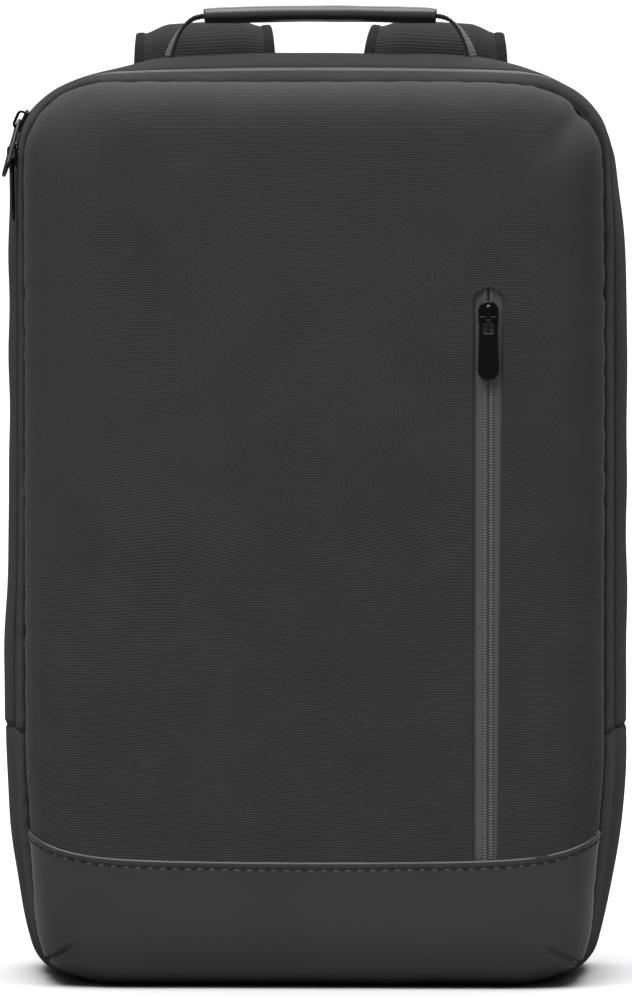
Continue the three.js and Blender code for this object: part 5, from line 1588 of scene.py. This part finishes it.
class BACKPACK_OT_handle(bpy.types.Operator):
    """Make the webbing handle with its padded leather grip"""
    bl_idname = "backpack.handle"
    bl_label = "Top handle"

    def execute(self, context):
        sizes = context.scene.backpack_sizes
        middles, wide, thick = handle_path(HANDLE_STEP)
        run = np.arange(len(middles)) * HANDLE_STEP
        rib = 1 + 0.13 * np.sin(2 * np.pi * run / (1.9 * mm))
        base = rounded_box(HANDLE_WEB_WIDTH, HANDLE_WEB_THICK, 0.7 * mm, 2, 8)
        swell = np.stack([np.ones_like(rib), rib], 1)[:, None]
        section = np.broadcast_to(base, (len(run),) + base.shape) * swell
        rings = carried(middles, wide, thick, section)
        new_piece("handle_web", rings, finish_of("webbing"), stands_for=["handle_webbing"],
                  uv=spread_uv(rings, True), closed_columns=True)
        grip = np.abs(middles[:, 0] - HANDLE_ACROSS) < GRIP_HALF
        middles, wide, thick = (v[grip][::2] for v in (middles, wide, thick))
        across = (middles[:, 0] - HANDLE_ACROSS) / GRIP_HALF
        turn = np.linspace(0, 2 * np.pi, 49)[:-1]
        cos, sin = np.cos(turn), np.sin(turn)
        oval = np.stack([np.sign(cos) * np.abs(cos) ** 0.55 * sizes.grip_width / 2,
                         np.sign(sin) * np.abs(sin) ** 0.8 * sizes.grip_thickness / 2], 1)
        close = 1 - 0.1 * np.abs(across) ** 10
        soft = 1 + 0.02 * wave_noise(across * GRIP_HALF, 26 * mm, 61)
        section = oval[None] * (close * soft)[:, None, None]
        section[..., 1] += ridge(turn - 1.5 * np.pi, 0.07) * 0.5 * mm
        rings = carried(middles, wide, thick, section, caps=False)
        close_in = np.array([0.3, 0.78, 0.93])[:, None, None]
        first = middles[:1, None] + (rings[:1] - middles[:1, None]) * close_in
        last = middles[-1:, None] + (rings[-1:] - middles[-1:, None]) * close_in[::-1]
        ease = np.array([1.1, -0.1, -0.35])[:, None, None] * mm * unit(middles[1] - middles[0])
        rings = np.concatenate([first + ease, rings, last - ease[::-1]])
        # The grip's leather is lightened as a painted highlight.
        new_piece("handle_leather", rings, finish_of("grip"), stands_for=["handle_grip"],
                  uv=spread_uv(rings, True), closed_columns=True)
        return {"FINISHED"}


# Shoulder straps.

def strap_path(rows):
    """The right strap's middles, cross directions, and full widths and thicknesses at even rows, with the
    frame at its lower end: origin, across, down and out, and the distance to its anchor on the bag."""
    up, back, out, wide_, thick_, lean = STRAP_ROWS.T
    table = np.stack([STRAP_PITCH / 2 + out * HALF_WIDTH, BACK_Y + back * STRAP_BOW, up * BAG_HEIGHT], 1)
    at = np.linspace(0, len(table) - 1, rows)
    middles = spline(table, at)
    share = eased(np.stack([wide_, thick_, lean], 1), at)
    along = unit(np.gradient(middles, axis=0))
    wide = unit(np.array([1.0, 0, 0]) - along * along[:, :1])
    angle = np.radians(share[:, 2:])
    wide = wide * np.cos(angle) + np.cross(along, wide) * np.sin(angle)
    thick = np.cross(wide, along)
    end = middles[-1]
    anchor_back = BACK_Y + ADJUSTER_THICK / 2 + WEB_CLEARANCE + WEB_THICK + ANCHOR_LIFT
    anchor = np.array([ANCHOR_ACROSS, anchor_back, ANCHOR_HEIGHT])
    down = unit(anchor - end)
    across = unit(np.array([1.0, 0, 0]) - down * down[0])
    lower = end, across, down, np.cross(across, down)
    return middles, wide, thick, share, lower, np.linalg.norm(anchor - end)


def mirrored(points):
    """Points on the bag's other side."""
    return points * np.array([-1.0, 1, 1])


def folded(frame_, bend, bend_up, outer_end, inner_end, sizes):
    """Webbing folded round a bar: a leg on the outer side, half a turn about the bar and a leg on the inner
    side, in a strap end's frame."""
    origin, across, down, out = frame_
    inside = ADJUSTER_THICK / 2 + WEB_CLEARANCE
    middle = inside + sizes.web_thickness / 2
    turn = np.linspace(np.pi / 2, 1.5 * np.pi, 25) if bend_up else np.linspace(np.pi / 2, -np.pi / 2, 25)
    path = np.vstack([[[outer_end, middle]],
                      np.stack([bend + middle * np.cos(turn), middle * np.sin(turn)], 1),
                      [[inner_end, -middle]]])
    run = np.linalg.norm(np.diff(path, axis=0), axis=1).sum()
    path = evened(path, max(int(run / (0.5 * mm)), 20))
    tangent = unit(np.gradient(path, axis=0))
    normal = np.stack([-tangent[:, 1], tangent[:, 0]], 1)
    middles = origin + path[:, :1] * down + path[:, 1:] * out
    thick = normal[:, :1] * down + normal[:, 1:] * out
    wide = np.broadcast_to(across, middles.shape)
    return carried(middles, wide, thick, rounded_box(WEB_WIDTH, sizes.web_thickness, 0.6 * mm, 2, 8))


def strap_section(width, thick):
    """A padded strap's cross section as a closed curve, for each row: a soft crown that falls to a thin flat
    band along each edge, where the edge binding is sewn on."""
    across = np.concatenate([np.linspace(-1, 1, 41), np.linspace(1, -1, 41)[1:-1]])
    side = np.where(np.arange(len(across)) < 41, 1.0, -1.0)
    inside = (1 - np.abs(across))[None, :] * width[:, None] / 2
    edge = 1.3 * mm
    rise = smooth(0, 12 * mm, inside - 4.5 * mm) ** 0.75
    half = edge + np.maximum(thick[:, None] / 2 - edge, 0.2 * mm) * rise
    half = half * np.where(inside < 0.8 * mm, np.sqrt(np.clip(inside / (0.8 * mm), 0, 1)) * 0.9 + 0.1, 1)
    return np.stack([across[None, :] * width[:, None] / 2, side * half], -1)


class BACKPACK_OT_shoulder_straps(bpy.types.Operator):
    """Make the padded shoulder straps with their bound edges"""
    bl_idname = "backpack.shoulder_straps"
    bl_label = "Shoulder straps"

    def execute(self, context):
        sizes = context.scene.backpack_sizes
        middles, wide, thick, share, _, _ = strap_path(260)
        run = lengths(middles)
        for name, turn, seed in (("right", lambda p: p, 71), ("left", mirrored, 81)):
            width = share[:, 0] * sizes.strap_width + 0.8 * mm * wave_noise(run, 40 * mm, seed)
            deep = share[:, 1] * sizes.strap_thickness * (1 + 0.04 * wave_noise(run, 30 * mm, seed + 1))
            section = strap_section(width - 1.2 * mm, deep)
            body = carried(middles, wide, thick, section)
            strap = new_piece(f"strap_{name}_cloth", turn(body), finish_of("strap"),
                              stands_for=[f"strap_{name}"], uv=spread_uv(body, True),
                              closed_columns=True)
            for side, label in ((1, "outer"), (-1, "inner")):
                edge = middles + wide * side * (width[:, None] / 2 - 2.6 * mm)
                line = carried(edge, wide, thick, rounded_box(5.2 * mm, 3.6 * mm, 1.6 * mm, 3, 2))
                new_piece(f"strap_{name}_{label}_binding", turn(line), finish_of("binding"),
                          uv=spread_uv(line, True), closed_columns=True)
        return {"FINISHED"}


class BACKPACK_OT_strap_webbing(bpy.types.Operator):
    """Make the adjusters and the webbing at the straps' lower ends"""
    bl_idname = "backpack.strap_webbing"
    bl_label = "Adjusters and webbing"

    def execute(self, context):
        sizes = context.scene.backpack_sizes
        *_, lower, reach = strap_path(260)
        top = ADJUSTER_OFFSET
        slot = (ADJUSTER_LENGTH - 3 * ADJUSTER_BAR) / 2
        first, middle = top + ADJUSTER_BAR, top + ADJUSTER_BAR + slot
        for name, turn in (("right", lambda p: p), ("left", mirrored)):
            grids = []
            for low, high, thickness in ((top, middle + ADJUSTER_BAR, ADJUSTER_THICK),
                                         (middle, top + ADJUSTER_LENGTH, ADJUSTER_THICK - 0.1 * mm)):
                centre, opening = (0, (low + high) / 2), high - low - 2 * ADJUSTER_BAR
                outer = rounded_box(ADJUSTER_WIDTH, high - low, 3 * mm, 6, 12) + centre
                inner = rounded_box(ADJUSTER_OPENING, opening, 0.8 * mm, 6, 12) + centre
                grids.append((turn(put(ring_plate(outer, inner, thickness, 0.8 * mm), lower)), True))
            new_group(f"adjuster_{name}_moulded", grids, finish_of("plastic"), "bag", [f"adjuster_{name}"])
            loop = folded(lower, first, False, 0.3 * mm, 0.3 * mm, sizes)
            new_piece(f"loop_{name}_web", turn(loop), finish_of("webbing"),
                      stands_for=[f"adjuster_loop_{name}"], uv=spread_uv(loop, True),
                      closed_columns=True)
            web = folded(lower, middle, True, middle + WEB_TAIL, reach, sizes)
            new_piece(f"strap_{name}_web", turn(web), finish_of("webbing"),
                      stands_for=[f"strap_webbing_{name}"], uv=spread_uv(web, True),
                      closed_columns=True)
        return {"FINISHED"}


# Stage.

AIM = Vector((-0.0003, 0.0, 0.2199))
CAMERA_DISTANCE, CAMERA_TURN, CAMERA_RISE, CAMERA_LENS, CAMERA_SENSOR = 3.0, 1.3, 2.0, 233.77, 36.0
LIT_MIDDLE = Vector((0, 0, 0.25))
SUN_STRENGTH, SUN_ANGLE = 4.2, math.radians(60)
WORLD_LIGHT, WORLD_SHOWN = 0.07, 1.3  # the surroundings as the bag and as the camera get them
FLOOR_BOUNCE = 0.4  # share of the floor's colour that lights the bag
FLOOR_RINGS, FLOOR_TURNS, FLOOR_HEIGHT = (0.02, 0.4, 0.9, 1.6), 96, -0.2 * mm


def direction(turn, rise):
    """The way from the bag to a place that is turned from its front and raised, both in degrees."""
    a, e = math.radians(turn), math.radians(rise)
    return Vector((math.sin(a) * math.cos(e), -math.cos(a) * math.cos(e), math.sin(e)))


def aimed(thing, place, target):
    """Puts a thing at a place so that it looks at a target, with its top up."""
    thing.location = place
    thing.rotation_euler = (Vector(target) - Vector(place)).to_track_quat("-Z", "Y").to_euler()


def softbox(name, place, target, width, height, strength):
    """A white rectangular light at a place, turned to a target."""
    light = bpy.data.lights.new(name, "AREA")
    light.shape, light.size, light.size_y = "RECTANGLE", width, height
    light.energy = strength
    lamp = bpy.data.objects.new(name, light)
    bpy.context.scene.collection.objects.link(lamp)
    aimed(lamp, place, target)


class BACKPACK_OT_stage(bpy.types.Operator):
    """Make the floor, the soft light and the camera"""
    bl_idname = "backpack.stage"
    bl_label = "Stage"

    def execute(self, context):
        scene = context.scene
        scene.view_settings.view_transform = "Standard"
        scene.view_settings.look = "None"
        mesh = bpy.data.meshes.new("studio_floor")
        turn = np.linspace(0, 2 * np.pi, FLOOR_TURNS + 1)[:-1]
        reach = np.array(FLOOR_RINGS)[:, None]
        x, y = reach * np.cos(turn), reach * np.sin(turn)
        points = np.stack([x, y, np.full(x.shape, FLOOR_HEIGHT)], -1)
        quads, _ = grid_faces(*x.shape, False, True)
        faces = quads.reshape(-1, 4)[:, ::-1].tolist() + [list(range(FLOOR_TURNS))]
        mesh.from_pydata(points.reshape(-1, 3).tolist(), [], faces)
        mesh.materials.append(finish_of("floor"))
        floor = bpy.data.objects.new("studio_floor", mesh)
        scene.collection.objects.link(floor)
        self.surroundings(scene)
        self.lights()
        self.camera(scene)
        return {"FINISHED"}

    def surroundings(self, scene):
        """A dim even white round the scene, which the camera sees as full white."""
        world = bpy.data.worlds.new("Studio")
        scene.world = world
        world.use_nodes = True
        nodes, links = world.node_tree.nodes, world.node_tree.links
        seen = nodes.new("ShaderNodeLightPath").outputs["Is Camera Ray"]
        level = nodes.new("ShaderNodeMapRange")
        level.inputs["To Min"].default_value = WORLD_LIGHT
        level.inputs["To Max"].default_value = WORLD_SHOWN
        links.new(seen, level.inputs["Value"])
        background = nodes["Background"]
        background.inputs["Color"].default_value = (1.0, 1.0, 1.0, 1.0)
        links.new(level.outputs["Result"], background.inputs["Strength"])

    def lights(self):
        """A wide soft sun from above, and the soft boxes."""
        light = bpy.data.lights.new("Overhead", "SUN")
        light.energy, light.angle = SUN_STRENGTH, SUN_ANGLE
        sun = bpy.data.objects.new("Overhead", light)
        bpy.context.scene.collection.objects.link(sun)
        aimed(sun, (0, -0.1, 1), (0, 0, 0))
        for name, turn, rise, distance, size, strength in SOFTBOXES:
            softbox(name, LIT_MIDDLE + direction(turn, rise) * distance, LIT_MIDDLE, *size, strength)

    def camera(self, scene):
        """The photograph's view: from almost straight ahead, a little to the right and above."""
        lens = bpy.data.cameras.new("Camera")
        lens.sensor_width, lens.lens = CAMERA_SENSOR, CAMERA_LENS
        lens.clip_end = 20.0
        camera = bpy.data.objects.new("Camera", lens)
        scene.collection.objects.link(camera)
        aimed(camera, AIM + direction(CAMERA_TURN, CAMERA_RISE) * CAMERA_DISTANCE, AIM)
        scene.camera = camera


STEPS = (
    BACKPACK_OT_front_panel,
    BACKPACK_OT_leather_foot,
    BACKPACK_OT_gussets,
    BACKPACK_OT_main_zip,
    BACKPACK_OT_pocket_zip,
    BACKPACK_OT_zip_hardware,
    BACKPACK_OT_back_pad,
    BACKPACK_OT_handle,
    BACKPACK_OT_shoulder_straps,
    BACKPACK_OT_strap_webbing,
    BACKPACK_OT_stage,
)


class BACKPACK_PT_panel(bpy.types.Panel):
    """Sizes, colours and steps of the laptop backpack"""
    bl_idname = "BACKPACK_PT_panel"
    bl_label = "Laptop Backpack"
    bl_space_type = "VIEW_3D"
    bl_region_type = "UI"
    bl_category = "Backpack"

    def draw(self, context):
        layout = self.layout
        for step in STEPS:
            layout.operator(step.bl_idname)
        scene = context.scene
        for title, group in (("Sizes", scene.backpack_sizes), ("Colours", scene.backpack_colours)):
            box = layout.box()
            box.label(text=title)
            for name in group.__annotations__:
                box.prop(group, name)


CLASSES = (BackpackSizes, BackpackColours, *STEPS, BACKPACK_PT_panel)


def register():
    for kind in CLASSES:
        bpy.utils.register_class(kind)
    bpy.types.Scene.backpack_sizes = PointerProperty(type=BackpackSizes)
    bpy.types.Scene.backpack_colours = PointerProperty(type=BackpackColours)


def unregister():
    del bpy.types.Scene.backpack_colours
    del bpy.types.Scene.backpack_sizes
    for kind in reversed(CLASSES):
        bpy.utils.unregister_class(kind)


def main():
    register()
    bpy.ops.backpack.front_panel()
    bpy.ops.backpack.leather_foot()
    bpy.ops.backpack.gussets()
    bpy.ops.backpack.main_zip()
    bpy.ops.backpack.pocket_zip()
    bpy.ops.backpack.zip_hardware()
    bpy.ops.backpack.back_pad()
    bpy.ops.backpack.handle()
    bpy.ops.backpack.shoulder_straps()
    bpy.ops.backpack.strap_webbing()
    bpy.ops.backpack.stage()


if __name__ == "__main__":
    main()
